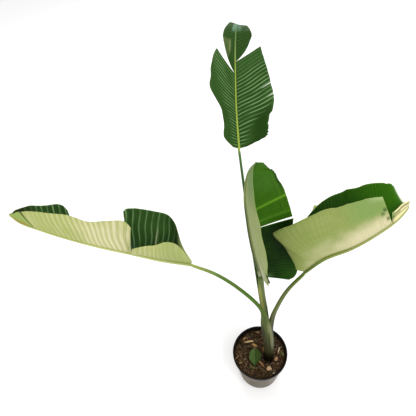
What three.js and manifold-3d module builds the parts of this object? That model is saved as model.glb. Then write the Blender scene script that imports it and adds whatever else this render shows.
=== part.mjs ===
// A potted bird of paradise: four long-stalked leaves and a sprout in a nursery pot.
// Millimetres, +Z up. The origin is the middle of the pot's underside.
import * as THREE from 'three';
import { mergeVertices } from 'three/addons/utils/BufferGeometryUtils.js';
import Module from 'manifold-3d';

// ---------------------------------------------------------------- driving dimensions

// Nursery pot, thin-walled and tapered, with a turned-out rim.
const POT_HEIGHT = 185;
const POT_RIM_RADIUS = 102;
const POT_BASE_RADIUS = 77;
const POT_WALL = 2.2;
const POT_FLOOR = 3;
const RIM_HEIGHT = 12;
const RIM_REACH = 3.4;
const RIM_ROUND = 1.4;
const FOOT_RIM_RADIUS = 2;
const DRAIN_HOLES = 8;
const DRAIN_RADIUS = 6;
const DRAIN_CIRCLE = 52;
const DRAIN_SIDES = 16;
const POT_SEGMENTS = 48;

// Potting soil.
const SOIL_LEVEL = 166;
const SOIL_RINGS = 8;
const SOIL_SEGMENTS = 40;
const SOIL_BUMP = 1.5;
const CHIP_COUNT = 34;
const CHIP_SEED = 417;
const CHIP_EDGE_MARGIN = 12;
const CHIP_LENGTH = [7, 16];
const CHIP_WIDTH = [3, 7];
const CHIP_HEIGHT = [2.5, 4.5];
const CHIP_TILT = 0.25;
const BIG_CHIP_HEIGHT = 4;
const BIG_CHIP_TILT = 0.04;
const CHIP_TAPER = 0.45;
const CHIP_TOP = 0.8;
const STEM_CENTRE = [32, -8];
const STEM_KEEP_OUT = 32;
const SPROUT_KEEP_OUT = 14;
const CHIP_SINK = 0.5;

// Leaves.
const BLADE_THICKNESS = 1;
const BLADE_ROWS = 5;
const VEIN_STEPS = 32;
const STALK_SIDES = 10;
const STALK_STEPS = 16;
const RIB_TIP_RADIUS = 1.1;
const MARGIN_RIPPLE = 1.6;
const RIPPLE_FULL_LENGTH = 80;
const RIB_TAPER = 0.8;
const STALK_TURNED_BY = 0.55;

// Running gap between pieces that touch.
const CLEARANCE = 0.3;
const CUT_CLEARANCE = 0.35;

// ---------------------------------------------------------------- the four leaves
//
// stalk: points that the leaf stalk runs through, up from its root in the soil.
// girth: half width and half depth of the stalk, by share of the stalk's length.
// midrib: points along the blade's keel, from the stalk to the tip.
// facing: where the upper side of the blade looks, by share of the midrib.
// ribRadius: the midrib's radius where the blade begins.
// Each half of the blade is a row of strips, from the stalk to the tip. Its side veins
// have a length, a rise out of the blade's plane at the keel, a curl that adds to the
// rise on the way to the margin, a sweep towards the tip and a bend that adds to the
// sweep, all in millimetres and degrees by share of the midrib. A strip ends where the
// blade is torn to the keel. A slit is a shorter tear, in from the margin.

const tallLeaf = {
  stalk: [[32, -6, 120], [21, 2, 300], [-1, 36, 500], [-46, 172, 718], [-90, 345, 901]],
  girth: [[0, 10, 8], [0.25, 7, 6], [0.45, 5, 5], [1, 3.8, 3.8]],
  baseFacing: [0.3, -1, 0],
  ribRadius: 3.6,
  midrib: [
    [-90, 345, 901], [-102, 416, 990], [-108, 482, 1064], [-111, 537, 1121], [-111, 570, 1148],
    [-109, 601, 1152], [-105, 628, 1131], [-103, 642, 1093], [-102, 648, 1053],
  ],
  facing: [
    [0, 0.25, -0.74, 0.6], [0.5, 0.25, -0.72, 0.62], [0.7, 0.22, -0.72, 0.62],
    [0.85, 0.1, -0.1, 0.9], [1, 0, 0.7, 0.5],
  ],
  right: [
    {
      to: 0.517,
      length: [
        [0, 26], [0.012, 58], [0.024, 83], [0.04, 95], [0.075, 99], [0.13, 107], [0.14, 117],
        [0.2, 126], [0.28, 118], [0.4, 103], [0.46, 94], [0.517, 85],
      ],
      rise: [[0, 30], [0.5, 28]],
      curl: [[0, 8], [0.5, 10]],
      sweep: [[0, 12], [0.06, 10], [0.15, 18], [0.3, 24], [0.4, 26], [0.517, 25]],
      slits: [{ at: 0.22, from: 0.85, gap: 1.4 }, { at: 0.28, from: 0.75, gap: 1.8 }],
    },
    {
      to: 1,
      length: [[0.517, 88], [0.57, 66], [0.63, 52], [0.7, 39], [0.76, 29], [0.9, 24], [1, 5]],
      rise: [[0.517, 16], [0.62, 18], [0.72, 22], [1, 8]],
      curl: [[0.517, 14], [0.7, 0], [1, -20]],
      sweep: [[0.517, 34], [0.6, 26], [0.7, 8], [0.85, -5], [1, 0]],
      bend: [[0.517, 44], [0.6, 18], [0.74, 0]],
    },
  ],
  left: [
    {
      to: 0.447,
      length: [
        [0, 30], [0.03, 68], [0.05, 76], [0.1, 72], [0.14, 76], [0.18, 86], [0.225, 135],
        [0.25, 140], [0.28, 136], [0.32, 137], [0.36, 131], [0.4, 124], [0.447, 108],
      ],
      rise: [[0, 40], [0.5, 42]],
      curl: [[0, 10], [0.5, 10]],
      sweep: [[0, 15], [0.06, 20], [0.15, 26], [0.3, 30], [0.4, 32], [0.447, 33]],
    },
    {
      to: 1,
      length: [
        [0.447, 112], [0.51, 72], [0.57, 49], [0.63, 41], [0.72, 32], [0.78, 24], [0.9, 20],
        [1, 5],
      ],
      rise: [[0.447, 16], [0.6, 5], [0.74, -8], [1, -4]],
      curl: [[0.447, 30], [0.6, 10], [1, -20]],
      sweep: [
        [0.447, 54], [0.51, 48], [0.57, 34], [0.63, 20], [0.72, 1], [0.8, -10], [0.9, -6],
        [1, 0],
      ],
      bend: [[0.447, 28], [0.57, 14], [0.67, 0]],
    },
  ],
};

const leftLeaf = {
  stalk: [
    [33, -16, 120], [32, -15, 252], [26, -10, 330], [16, 0, 434], [-3, 12, 540], [-62, 33, 607],
    [-146, 55, 662], [-221, 72, 675],
  ],
  girth: [
    [0, 16, 9], [0.2, 17.5, 8.4], [0.38, 18.5, 8.2], [0.45, 17.3, 7.8], [0.5, 14.6, 7.2],
    [0.55, 10.6, 6.8], [0.6, 7.2, 6.2], [0.7, 5.8, 5.8], [1, 4.6, 4.6],
  ],
  baseFacing: [0.1, 1, 0],
  ribRadius: 4.2,
  midrib: [
    [-221, 72, 675], [-319, 82, 671], [-409, 90, 684], [-505, 95, 702], [-598, 98, 731],
    [-683, 98, 773], [-735, 96, 811], [-749, 94, 846],
  ],
  facing: [[0, 0.2, 0.62, 0.76], [1, 0.2, 0.62, 0.76]],
  right: [
    {
      to: 0.355,
      length: [
        [0, 6], [0.05, 35], [0.08, 64], [0.1, 94], [0.12, 125], [0.16, 151], [0.24, 158],
        [0.34, 149], [0.355, 138],
      ],
      rise: [[0, 42], [0.355, 42]],
      curl: [[0, 30], [0.355, 25]],
      sweep: [[0, -18], [0.1, 2], [0.2, 8], [0.355, 21]],
    },
    {
      to: 0.65,
      length: [[0.355, 120], [0.5, 125], [0.65, 115]],
      rise: [[0.355, 24], [0.65, 24]],
      curl: [[0.355, -95], [0.65, -95]],
      sweep: [[0.355, 12], [0.65, 24]],
    },
    {
      to: 1,
      length: [
        [0.65, 98], [0.665, 110], [0.69, 113], [0.75, 100], [0.83, 80], [0.9, 54], [0.95, 28],
        [1, 6],
      ],
      rise: [[0.65, 45], [1, 45]],
      curl: [[0.65, 30], [1, 30]],
      sweep: [[0.65, 18], [0.75, 36], [0.85, 45], [1, 75]],
      bend: [[0.65, 22], [0.75, 0]],
    },
  ],
  left: [
    {
      to: 0.33,
      length: [
        [0, 12], [0.03, 50], [0.06, 87], [0.09, 98], [0.18, 98], [0.24, 103], [0.33, 112],
      ],
      rise: [[0, 34], [0.1, 32], [0.2, 26], [0.33, 10]],
      curl: [[0, 40], [0.33, 34]],
      sweep: [[0, -14], [0.1, 0], [0.2, -3], [0.33, -10]],
    },
    {
      to: 1,
      length: [
        [0.33, 110], [0.345, 128], [0.36, 132], [0.42, 121], [0.52, 106], [0.62, 108],
        [0.72, 100], [0.82, 81], [0.87, 66], [0.92, 44], [1, 6],
      ],
      rise: [[0.33, 50], [0.8, 50], [1, 45]],
      curl: [[0.33, 25], [1, 25]],
      sweep: [[0.33, 2], [0.42, 14], [0.6, 25], [0.85, 45], [1, 75]],
      slits: [{ at: 0.857, from: 0.4, gap: 3 }],
    },
  ],
};

const rightLeaf = {
  stalk: [
    [41, -4, 120], [38, 0, 265], [28.5, 12, 411], [33, 20, 474], [44, 28, 529], [72, 43, 618],
    [115, 60, 691],
  ],
  girth: [
    [0, 12, 10], [0.25, 12, 9.5], [0.5, 11, 8.5], [0.65, 7.8, 7], [0.85, 5.8, 5.8],
    [1, 4.8, 4.8],
  ],
  baseFacing: [-1, 0.4, 0],
  ribRadius: 4.2,
  midrib: [
    [115, 60, 691], [167, 68, 759], [232, 80, 797], [294, 100, 844], [337, 121, 881],
    [355, 139, 892], [368, 161, 886], [373, 181, 864],
  ],
  facing: [[0, -0.5, 0.7, 0.6], [1, -0.4, 0.72, 0.55]],
  right: [
    {
      to: 0.735,
      length: [
        [0, 22], [0.05, 41], [0.08, 60], [0.1, 78], [0.12, 102], [0.135, 146], [0.15, 148],
        [0.2, 138], [0.35, 133], [0.5, 121], [0.65, 98], [0.735, 83],
      ],
      rise: [[0, 52], [1, 55]],
      curl: [[0, 38], [1, 35]],
      sweep: [[0, -36], [0.06, -27], [0.12, -14], [0.2, -2], [0.3, 6], [0.735, 20]],
    },
    {
      to: 1,
      length: [[0.735, 34], [0.8, 33], [0.86, 25], [0.93, 14], [1, 5]],
      rise: [[0.735, 45], [1, 45]],
      curl: [[0.735, 30], [1, 30]],
      sweep: [[0.735, 34], [1, 50]],
    },
  ],
  left: [
    {
      to: 1,
      length: [
        [0, 50], [0.06, 91], [0.12, 124], [0.2, 150], [0.3, 171], [0.4, 172], [0.5, 162],
        [0.65, 138], [0.75, 116], [0.8, 102], [0.86, 84], [0.92, 70], [1, 38],
      ],
      rise: [[0, 52], [1, 48]],
      curl: [[0, 26], [1, 26]],
      sweep: [[0, -16], [0.1, 5], [0.3, 15], [0.8, 30], [1, 60]],
    },
  ],
};

const middleLeaf = {
  stalk: [[27, -4, 120], [28, 0, 261], [16, 22, 485], [2, 54, 574], [-3, 76, 616]],
  girth: [
    [0, 13, 10], [0.3, 12, 9.5], [0.55, 10.5, 9], [0.8, 10, 9.4], [0.92, 10, 9.2], [1, 9, 7.8],
  ],
  baseFacing: [0.5, -1, 0],
  ribRadius: 7,
  midrib: [
    [-3, 76, 616], [-31, 112, 711], [-50, 146, 808], [-60, 183, 893], [-58, 206, 918],
    [-50, 228, 935], [-34, 246, 946],
  ],
  facing: [[0, 0.7, -0.55, 0.45], [1, 0.75, -0.5, 0.45]],
  right: [
    {
      to: 0.447,
      length: [
        [0, 82], [0.02, 101], [0.06, 113], [0.1, 116], [0.2, 113], [0.3, 118], [0.447, 131],
      ],
      rise: [[0, 35], [1, 35]],
      curl: [[0, 10], [1, 10]],
      sweep: [[0, -24], [0.1, -6], [0.3, 3], [0.447, 7]],
    },
    {
      to: 1,
      length: [
        [0.447, 130], [0.52, 126], [0.6, 121], [0.7, 110], [0.8, 94], [0.88, 77], [0.95, 56],
        [1, 20],
      ],
      rise: [[0.447, 35], [1, 25]],
      curl: [[0.447, 10], [1, 0]],
      sweep: [[0.447, 10], [0.6, 18], [0.8, 22], [0.9, 28], [1, 40]],
    },
  ],
  left: [
    {
      to: 1,
      length: [
        [0, 56], [0.03, 62], [0.055, 66], [0.075, 79], [0.095, 83], [0.115, 78], [0.2, 94],
        [0.3, 106], [0.4, 110], [0.5, 104], [0.6, 95], [0.7, 89], [0.8, 68], [0.9, 39], [1, 6],
      ],
      rise: [[0, 55], [0.5, 56], [1, 50]],
      curl: [[0, 20], [1, 20]],
      sweep: [[0, 2], [0.1, 0], [0.4, 5], [0.8, 8], [1, 0]],
    },
  ],
};

// A young leaf from the same root, one small piece with its stalk.
const sproutLeaf = {
  veinSteps: 8,
  stalkSteps: 5,
  stalk: [[-17, -51, 145], [-17, -51, 160], [-17, -49, 172], [-18, -46, 182]],
  girth: [[0, 3.2, 3.2], [1, 2.4, 2.4]],
  baseFacing: [0, -1, 0],
  ribRadius: 2.2,
  midrib: [[-18, -46, 182], [-18, -33, 197], [-18, -19, 209], [-18, -3, 217]],
  facing: [[0, -0.1, -0.5, 0.8], [1, 0, -0.2, 1]],
  right: [
    {
      to: 1,
      length: [[0, 4], [0.12, 11], [0.3, 20], [0.5, 23], [0.7, 20], [0.88, 12], [1, 3]],
      rise: [[0, 14], [1, 10]],
      curl: [[0, -12], [1, -8]],
      sweep: [[0, -10], [0.3, 8], [0.7, 30], [1, 60]],
    },
  ],
  left: [
    {
      to: 1,
      length: [[0, 4], [0.12, 11], [0.3, 20], [0.5, 22], [0.7, 19], [0.88, 11], [1, 3]],
      rise: [[0, 16], [1, 12]],
      curl: [[0, -12], [1, -8]],
      sweep: [[0, -10], [0.3, 8], [0.7, 30], [1, 60]],
    },
  ],
};

// The large chips on the soil: middle, length, width and turn.
const BIG_CHIPS = [
  { at: [-44, 43], length: 32, width: 6, turn: 15 },
  { at: [-22, 30], length: 20, width: 8, turn: -25 },
  { at: [4, -34], length: 38, width: 6, turn: -45 },
  { at: [36, -52], length: 17, width: 13, turn: 20 },
  { at: [62, -15], length: 16, width: 9, turn: 65 },
  { at: [71, 21], length: 26, width: 4, turn: 72 },
  { at: [-62, 54], length: 19, width: 8, turn: 45 },
];

// ---------------------------------------------------------------- curves and frames

// The value of a smooth curve through stations [place, value], level beyond its ends.
function smoothValue(stations, place) {
  const last = stations.length - 1;
  if (last === 0 || place <= stations[0][0]) return stations[0][1];
  if (place >= stations[last][0]) return stations[last][1];
  let low = 0;
  while (stations[low + 1][0] <= place) low += 1;
  const slope = (index) => {
    const before = stations[Math.max(index - 1, 0)];
    const after = stations[Math.min(index + 1, last)];
    return (after[1] - before[1]) / (after[0] - before[0]);
  };
  const [start, end] = [stations[low], stations[low + 1]];
  const width = end[0] - start[0];
  const x = (place - start[0]) / width;
  const rest = 1 - x;
  return (1 + 2 * x) * rest * rest * start[1] + x * rest * rest * width * slope(low)
    + x * x * (3 - 2 * x) * end[1] - x * x * rest * width * slope(low + 1);
}

// The direction between stations [place, x, y, z], mixed in straight steps.
function mixDirection(stations, place) {
  let low = 0;
  while (low < stations.length - 2 && stations[low + 1][0] < place) low += 1;
  const [start, end] = [stations[low], stations[low + 1]];
  const share = THREE.MathUtils.clamp((place - start[0]) / (end[0] - start[0]), 0, 1);
  const from = new THREE.Vector3(...start.slice(1));
  return from.lerp(new THREE.Vector3(...end.slice(1)), share);
}

// A smooth line through points, read by its share of the length from point to point.
class LeafLine {
  constructor(points) {
    const places = points.map((point) => new THREE.Vector3(...point));
    this.curve = new THREE.CatmullRomCurve3(places, false, 'chordal');
    this.marks = [0];
    for (let i = 1; i < places.length; i += 1) {
      this.marks.push(this.marks[i - 1] + places[i].distanceTo(places[i - 1]));
    }
  }

  get length() {
    return this.marks[this.marks.length - 1];
  }

  at(share) {
    const distance = THREE.MathUtils.clamp(share, 0, 1) * this.length;
    let end = 1;
    while (end < this.marks.length - 1 && this.marks[end] < distance) end += 1;
    const part = (distance - this.marks[end - 1]) / (this.marks[end] - this.marks[end - 1]);
    return this.curve.getPoint((end - 1 + part) / (this.marks.length - 1));
  }

  heading(share) {
    const step = 0.002;
    return this.at(share + step).sub(this.at(share - step)).normalize();
  }

  // along the line, up out of the blade, and side, to the right of someone on it.
  frame(share, facing) {
    const along = this.heading(share);
    const up = facing.clone().addScaledVector(along, -facing.dot(along)).normalize();
    const side = new THREE.Vector3().crossVectors(along, up);
    return { origin: this.at(share), along, up, side };
  }
}

// ---------------------------------------------------------------- leaf blades

// Places along the midrib where side veins leave it: every tear, with even steps between.
function veinPlaces(leaf) {
  const marks = new Set([0, 1]);
  for (const strip of [...leaf.right, ...leaf.left]) {
    marks.add(strip.to);
    for (const slit of strip.slits ?? []) marks.add(slit.at);
  }
  const sorted = [...marks].sort((a, b) => a - b);
  const veinSteps = leaf.veinSteps ?? VEIN_STEPS;
  const places = [0];
  for (let i = 1; i < sorted.length; i += 1) {
    const width = sorted[i] - sorted[i - 1];
    const steps = Math.max(1, Math.round(width * veinSteps));
    for (let step = 1; step <= steps; step += 1) {
      places.push(sorted[i - 1] + (width * step) / steps);
    }
  }
  return places;
}

// One side vein as a row of points, from the keel to the margin.
function veinPoints(leaf, strip, place, hand) {
  const { origin, along, up, side } = leaf.line.frame(place, mixDirection(leaf.facing, place));
  const length = smoothValue(strip.length, place);
  const rise = smoothValue(strip.rise, place);
  const curl = smoothValue(strip.curl, place);
  const sweep = smoothValue(strip.sweep, place);
  const bend = strip.bend ? smoothValue(strip.bend, place) : 0;
  const wave = Math.sin(place * 23) + 0.6 * Math.sin(place * 37 + 2 * hand);
  const ripple = MARGIN_RIPPLE * wave * Math.min(1, length / RIPPLE_FULL_LENGTH);
  const points = [origin];
  const walker = origin.clone();
  for (let row = 1; row <= BLADE_ROWS; row += 1) {
    const middle = (row - 0.5) / BLADE_ROWS;
    const tilt = THREE.MathUtils.degToRad(rise + curl * middle);
    const lean = THREE.MathUtils.degToRad(sweep + bend * middle);
    const step = new THREE.Vector3()
      .addScaledVector(side, hand * Math.cos(tilt) * Math.cos(lean))
      .addScaledVector(up, Math.sin(tilt) * Math.cos(lean))
      .addScaledVector(along, Math.sin(lean));
    walker.addScaledVector(step, length / BLADE_ROWS);
    const reach = row / BLADE_ROWS;
    points.push(walker.clone().addScaledVector(up, ripple * reach * reach));
  }
  return { points, along };
}

// The open sheet of a blade: points, and triangles that look to its upper side.
function bladeSheet(leaf) {
  const places = veinPlaces(leaf);
  const points = [];
  const triangles = [];
  const keel = places.map((place) => points.push(leaf.line.at(place)) - 1);

  const addColumn = (vein, keelIndex, shared, pull) => {
    const column = [keelIndex];
    for (let row = 1; row <= BLADE_ROWS; row += 1) {
      const reach = row / BLADE_ROWS;
      if (shared && reach <= shared.from + 1e-6) {
        column.push(shared.column[row]);
      } else {
        const opening = shared ? (pull * (reach - shared.from)) / (1 - shared.from) : 0;
        column.push(points.push(vein.points[row].clone().addScaledVector(vein.along, opening)) - 1);
      }
    }
    return column;
  };

  for (const [strips, hand] of [[leaf.right, 1], [leaf.left, -1]]) {
    let start = 0;
    for (const strip of strips) {
      const inside = places.map((place, index) => [place, index])
        .filter(([place]) => place >= start - 1e-6 && place <= strip.to + 1e-6);
      let previous = null;
      for (const [place, index] of inside) {
        const vein = veinPoints(leaf, strip, place, hand);
        const slit = (strip.slits ?? []).find((item) => Math.abs(item.at - place) < 1e-6);
        const before = addColumn(vein, keel[index], null, 0);
        let after = before;
        if (slit) {
          // The far lip shares the near lip's points up to the slit's inner end.
          after = addColumn(vein, keel[index], { column: before, from: slit.from }, slit.gap);
        }
        if (previous) {
          for (let row = 0; row < BLADE_ROWS; row += 1) {
            const [a, b] = [previous[row], before[row]];
            const [c, d] = [before[row + 1], previous[row + 1]];
            if (hand > 0) triangles.push([a, d, c], [a, c, b]);
            else triangles.push([a, c, d], [a, b, c]);
          }
        }
        previous = after;
      }
      start = strip.to;
    }
  }
  return { points, triangles };
}

// A closed solid of even thickness round an open sheet, split alike on both faces.
function thickenSheet({ points, triangles }, thickness) {
  const normals = points.map(() => new THREE.Vector3());
  const borders = new Map();
  for (const [a, b, c] of triangles) {
    const first = points[b].clone().sub(points[a]);
    const normal = first.cross(points[c].clone().sub(points[a]));
    for (const index of [a, b, c]) normals[index].add(normal);
    for (const [from, to] of [[a, b], [b, c], [c, a]]) {
      const opposite = `${to}_${from}`;
      if (borders.has(opposite)) borders.delete(opposite);
      else borders.set(`${from}_${to}`, [from, to]);
    }
  }
  const count = points.length;
  const vertices = [];
  for (const direction of [0.5, -0.5]) {
    points.forEach((point, index) => {
      const offset = normals[index].clone().normalize().multiplyScalar(direction * thickness);
      vertices.push(...point.clone().add(offset).toArray());
    });
  }
  const indices = [];
  for (const [a, b, c] of triangles) {
    indices.push(a, b, c, a + count, c + count, b + count);
  }
  for (const [from, to] of borders.values()) {
    indices.push(to, from, from + count, to, from + count, to + count);
  }
  return solidFrom(vertices, indices);
}

// ---------------------------------------------------------------- solids and booleans

function solidFrom(vertices, indices) {
  const geometry = new THREE.BufferGeometry();
  geometry.setAttribute('position', new THREE.Float32BufferAttribute(vertices, 3));
  geometry.setIndex(indices);
  return geometry;
}

const wasm = await Module();
wasm.setup();

function toManifold(geometry) {
  const bare = geometry.clone();
  bare.deleteAttribute('normal');
  bare.deleteAttribute('uv');
  const merged = mergeVertices(bare);
  const index = merged.index.array;
  const kept = [];
  for (let i = 0; i < index.length; i += 3) {
    const corners = [index[i], index[i + 1], index[i + 2]];
    if (new Set(corners).size === 3) kept.push(...corners);
  }
  return new wasm.Manifold(new wasm.Mesh({
    numProp: 3,
    vertProperties: new Float32Array(merged.attributes.position.array),
    triVerts: new Uint32Array(kept),
  }));
}

// The largest loose body of a solid; a boolean can leave thin scraps beside it.
function toGeometry(manifold) {
  const bodies = manifold.decompose();
  bodies.sort((a, b) => b.volume() - a.volume());
  const mesh = bodies[0].getMesh();
  return solidFrom(Array.from(mesh.vertProperties), Array.from(mesh.triVerts));
}

// ---------------------------------------------------------------- leaf stalks

// How far the rod's middle lies under the keel, so that the blade rests on the rod.
function ribDrop(depth) {
  return BLADE_THICKNESS / 2 + CLEARANCE + depth;
}

// A stalk with its midrib, one tapering rod. swell makes it wider all round.
function stalkGeometry(leaf, swell, drop = ribDrop) {
  const stalk = new LeafLine(leaf.stalk);
  const widths = leaf.girth.map(([share, width]) => [share, width]);
  const depths = leaf.girth.map(([share, , depth]) => [share, depth]);
  const bladeUp = leaf.line.frame(0, mixDirection(leaf.facing, 0)).up;
  const facing = [[0, ...leaf.baseFacing], [STALK_TURNED_BY, ...bladeUp.toArray()]];
  const rings = [];
  const addRing = ({ origin, up, side, along }, width, depth, fall, lift = 0) => {
    const centre = origin.clone().addScaledVector(up, -fall).addScaledVector(along, lift);
    const ring = [];
    for (let k = 0; k < STALK_SIDES; k += 1) {
      const angle = (2 * Math.PI * k) / STALK_SIDES;
      ring.push(centre.clone()
        .addScaledVector(side, (width + swell) * Math.cos(angle))
        .addScaledVector(up, (depth + swell) * Math.sin(angle)));
    }
    rings.push({ centre, ring });
  };
  const stalkSteps = leaf.stalkSteps ?? STALK_STEPS;
  for (let step = 0; step < stalkSteps; step += 1) {
    const share = step / stalkSteps;
    const depth = smoothValue(depths, share);
    const ease = share * share * (3 - 2 * share);
    const lift = step === 0 ? -swell : 0;
    addRing(
      stalk.frame(share, mixDirection(facing, share)),
      smoothValue(widths, share), depth, drop(depth) * ease, lift,
    );
  }
  for (const place of veinPlaces(leaf)) {
    const radius = RIB_TIP_RADIUS + (leaf.ribRadius - RIB_TIP_RADIUS) * (1 - place) ** RIB_TAPER;
    addRing(leaf.line.frame(place, mixDirection(leaf.facing, place)), radius, radius, drop(radius));
  }

  const vertices = [];
  const indices = [];
  for (const { ring } of rings) ring.forEach((point) => vertices.push(...point.toArray()));
  const rootIndex = rings.length * STALK_SIDES;
  const tipIndex = rootIndex + 1;
  vertices.push(...rings[0].centre.toArray(), ...rings[rings.length - 1].centre.toArray());
  for (let k = 0; k < STALK_SIDES; k += 1) {
    const next = (k + 1) % STALK_SIDES;
    for (let i = 0; i + 1 < rings.length; i += 1) {
      const [a, b] = [i * STALK_SIDES + k, i * STALK_SIDES + next];
      const [c, d] = [b + STALK_SIDES, a + STALK_SIDES];
      indices.push(a, d, c, a, c, b);
    }
    const last = (rings.length - 1) * STALK_SIDES;
    indices.push(rootIndex, k, next, tipIndex, last + next, last + k);
  }
  return solidFrom(vertices, indices);
}

// ---------------------------------------------------------------- pot

const NECK_HEIGHT = POT_HEIGHT - RIM_HEIGHT;
const NECK_RADIUS = POT_RIM_RADIUS - RIM_REACH;

function potOuterRadius(height) {
  return POT_BASE_RADIUS + ((NECK_RADIUS - POT_BASE_RADIUS) * height) / NECK_HEIGHT;
}

function potInnerRadius(height) {
  return potOuterRadius(height) - POT_WALL;
}

function potGeometry() {
  const profile = [
    [0, 0],
    [potOuterRadius(0) - FOOT_RIM_RADIUS, 0],
    [potOuterRadius(FOOT_RIM_RADIUS), FOOT_RIM_RADIUS],
    [NECK_RADIUS, NECK_HEIGHT],
    [POT_RIM_RADIUS - RIM_ROUND, NECK_HEIGHT + RIM_ROUND / 2],
    [POT_RIM_RADIUS, NECK_HEIGHT + 2 * RIM_ROUND],
    [POT_RIM_RADIUS, POT_HEIGHT - RIM_ROUND],
    [POT_RIM_RADIUS - RIM_ROUND, POT_HEIGHT],
    [potInnerRadius(POT_HEIGHT) + RIM_ROUND, POT_HEIGHT],
    [potInnerRadius(POT_HEIGHT), POT_HEIGHT - RIM_ROUND],
    [potInnerRadius(POT_FLOOR), POT_FLOOR],
    [0, POT_FLOOR],
  ].map(([radius, height]) => new THREE.Vector2(radius, height));
  const lathe = new THREE.LatheGeometry(profile, POT_SEGMENTS).rotateX(Math.PI / 2);
  let pot = toManifold(lathe);
  for (let k = 0; k < DRAIN_HOLES; k += 1) {
    const angle = (2 * Math.PI * k) / DRAIN_HOLES;
    const drain = new THREE.CylinderGeometry(DRAIN_RADIUS, DRAIN_RADIUS, 4 * POT_FLOOR, DRAIN_SIDES)
      .rotateX(Math.PI / 2)
      .translate(DRAIN_CIRCLE * Math.cos(angle), DRAIN_CIRCLE * Math.sin(angle), 0);
    pot = pot.subtract(toManifold(drain));
  }
  return toGeometry(pot);
}

// ---------------------------------------------------------------- soil and bark chips

function soilHeight(x, y) {
  const swells = Math.sin(x / 11 + 0.8 * Math.sin(y / 14)) * Math.cos(y / 10);
  const crumbs = Math.sin(x / 4.3 + y / 6.1) * Math.sin(y / 5.2 - x / 7.7);
  return SOIL_LEVEL + SOIL_BUMP * (swells + 0.7 * crumbs);
}

// A seeded stream of numbers from 0 to 1.
function makeDraw(seed) {
  let state = seed;
  return () => {
    state = (state * 1664525 + 1013904223) % 4294967296;
    return state / 4294967296;
  };
}

function chipSolid(x, y, length, width, height, turn, tilt) {
  const chip = new THREE.BoxGeometry(length, width, height);
  const position = chip.attributes.position;
  for (let i = 0; i < position.count; i += 1) {
    // One end runs out narrow and the top is a little smaller, as split bark is.
    const taper = position.getX(i) > 0 ? CHIP_TAPER : 1;
    const top = position.getZ(i) > 0 ? CHIP_TOP : 1;
    position.setXYZ(i, position.getX(i) * top, position.getY(i) * taper * top, position.getZ(i));
  }
  chip.rotateY(tilt).rotateZ(turn);
  chip.translate(x, y, soilHeight(x, y) + height * (0.5 - CHIP_SINK));
  return toManifold(chip);
}

function soilBody() {
  const bottom = POT_FLOOR + CLEARANCE;
  const top = SOIL_LEVEL;
  const topRadius = potInnerRadius(top) - CLEARANCE;
  const vertices = [0, 0, soilHeight(0, 0)];
  const indices = [];
  for (let ring = 1; ring <= SOIL_RINGS; ring += 1) {
    const radius = (topRadius * ring) / SOIL_RINGS;
    for (let k = 0; k < SOIL_SEGMENTS; k += 1) {
      const angle = (2 * Math.PI * k) / SOIL_SEGMENTS;
      const [x, y] = [radius * Math.cos(angle), radius * Math.sin(angle)];
      vertices.push(x, y, ring === SOIL_RINGS ? top : soilHeight(x, y));
    }
  }
  const bottomRadius = potInnerRadius(bottom) - CLEARANCE;
  for (let k = 0; k < SOIL_SEGMENTS; k += 1) {
    const angle = (2 * Math.PI * k) / SOIL_SEGMENTS;
    vertices.push(bottomRadius * Math.cos(angle), bottomRadius * Math.sin(angle), bottom);
  }
  const bottomCentre = vertices.length / 3;
  vertices.push(0, 0, bottom);
  const at = (ring, k) => 1 + ring * SOIL_SEGMENTS + (k % SOIL_SEGMENTS);
  for (let k = 0; k < SOIL_SEGMENTS; k += 1) {
    indices.push(0, at(0, k), at(0, k + 1));
    for (let ring = 0; ring < SOIL_RINGS; ring += 1) {
      const [a, b] = [at(ring, k), at(ring, k + 1)];
      const [c, d] = [at(ring + 1, k + 1), at(ring + 1, k)];
      indices.push(a, d, c, a, c, b);
    }
    indices.push(bottomCentre, at(SOIL_RINGS, k + 1), at(SOIL_RINGS, k));
  }
  return toManifold(solidFrom(vertices, indices));
}

function soilGeometry(stems) {
  let soil = soilBody();
  for (const { at, length, width, turn } of BIG_CHIPS) {
    const angle = THREE.MathUtils.degToRad(turn);
    soil = soil.add(chipSolid(...at, length, width, BIG_CHIP_HEIGHT, angle, BIG_CHIP_TILT));
  }
  const draw = makeDraw(CHIP_SEED);
  const between = ([low, high]) => low + (high - low) * draw();
  const reach = potInnerRadius(SOIL_LEVEL) - CHIP_EDGE_MARGIN;
  let placed = 0;
  while (placed < CHIP_COUNT) {
    const radius = reach * Math.sqrt(draw());
    const angle = 2 * Math.PI * draw();
    const [x, y] = [radius * Math.cos(angle), radius * Math.sin(angle)];
    const size = [between(CHIP_LENGTH), between(CHIP_WIDTH), between(CHIP_HEIGHT)];
    const [turn, tilt] = [Math.PI * draw(), between([-CHIP_TILT, CHIP_TILT])];
    const sproutRoot = sproutLeaf.stalk[0];
    const clearOfStem = Math.hypot(x - STEM_CENTRE[0], y - STEM_CENTRE[1]) > STEM_KEEP_OUT;
    const clearOfSprout = Math.hypot(x - sproutRoot[0], y - sproutRoot[1]) > SPROUT_KEEP_OUT;
    if (clearOfStem && clearOfSprout) {
      soil = soil.add(chipSolid(x, y, ...size, turn, tilt));
      placed += 1;
    }
  }
  for (const stem of stems) soil = soil.subtract(stem);
  return toGeometry(soil);
}

// ---------------------------------------------------------------- assembly

const plant = new THREE.Group();

function addPiece(name, geometry, colour, roughness) {
  const material = new THREE.MeshStandardMaterial({ color: colour, roughness, metalness: 0 });
  const piece = new THREE.Mesh(geometry, material);
  piece.name = name;
  plant.add(piece);
}

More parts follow.
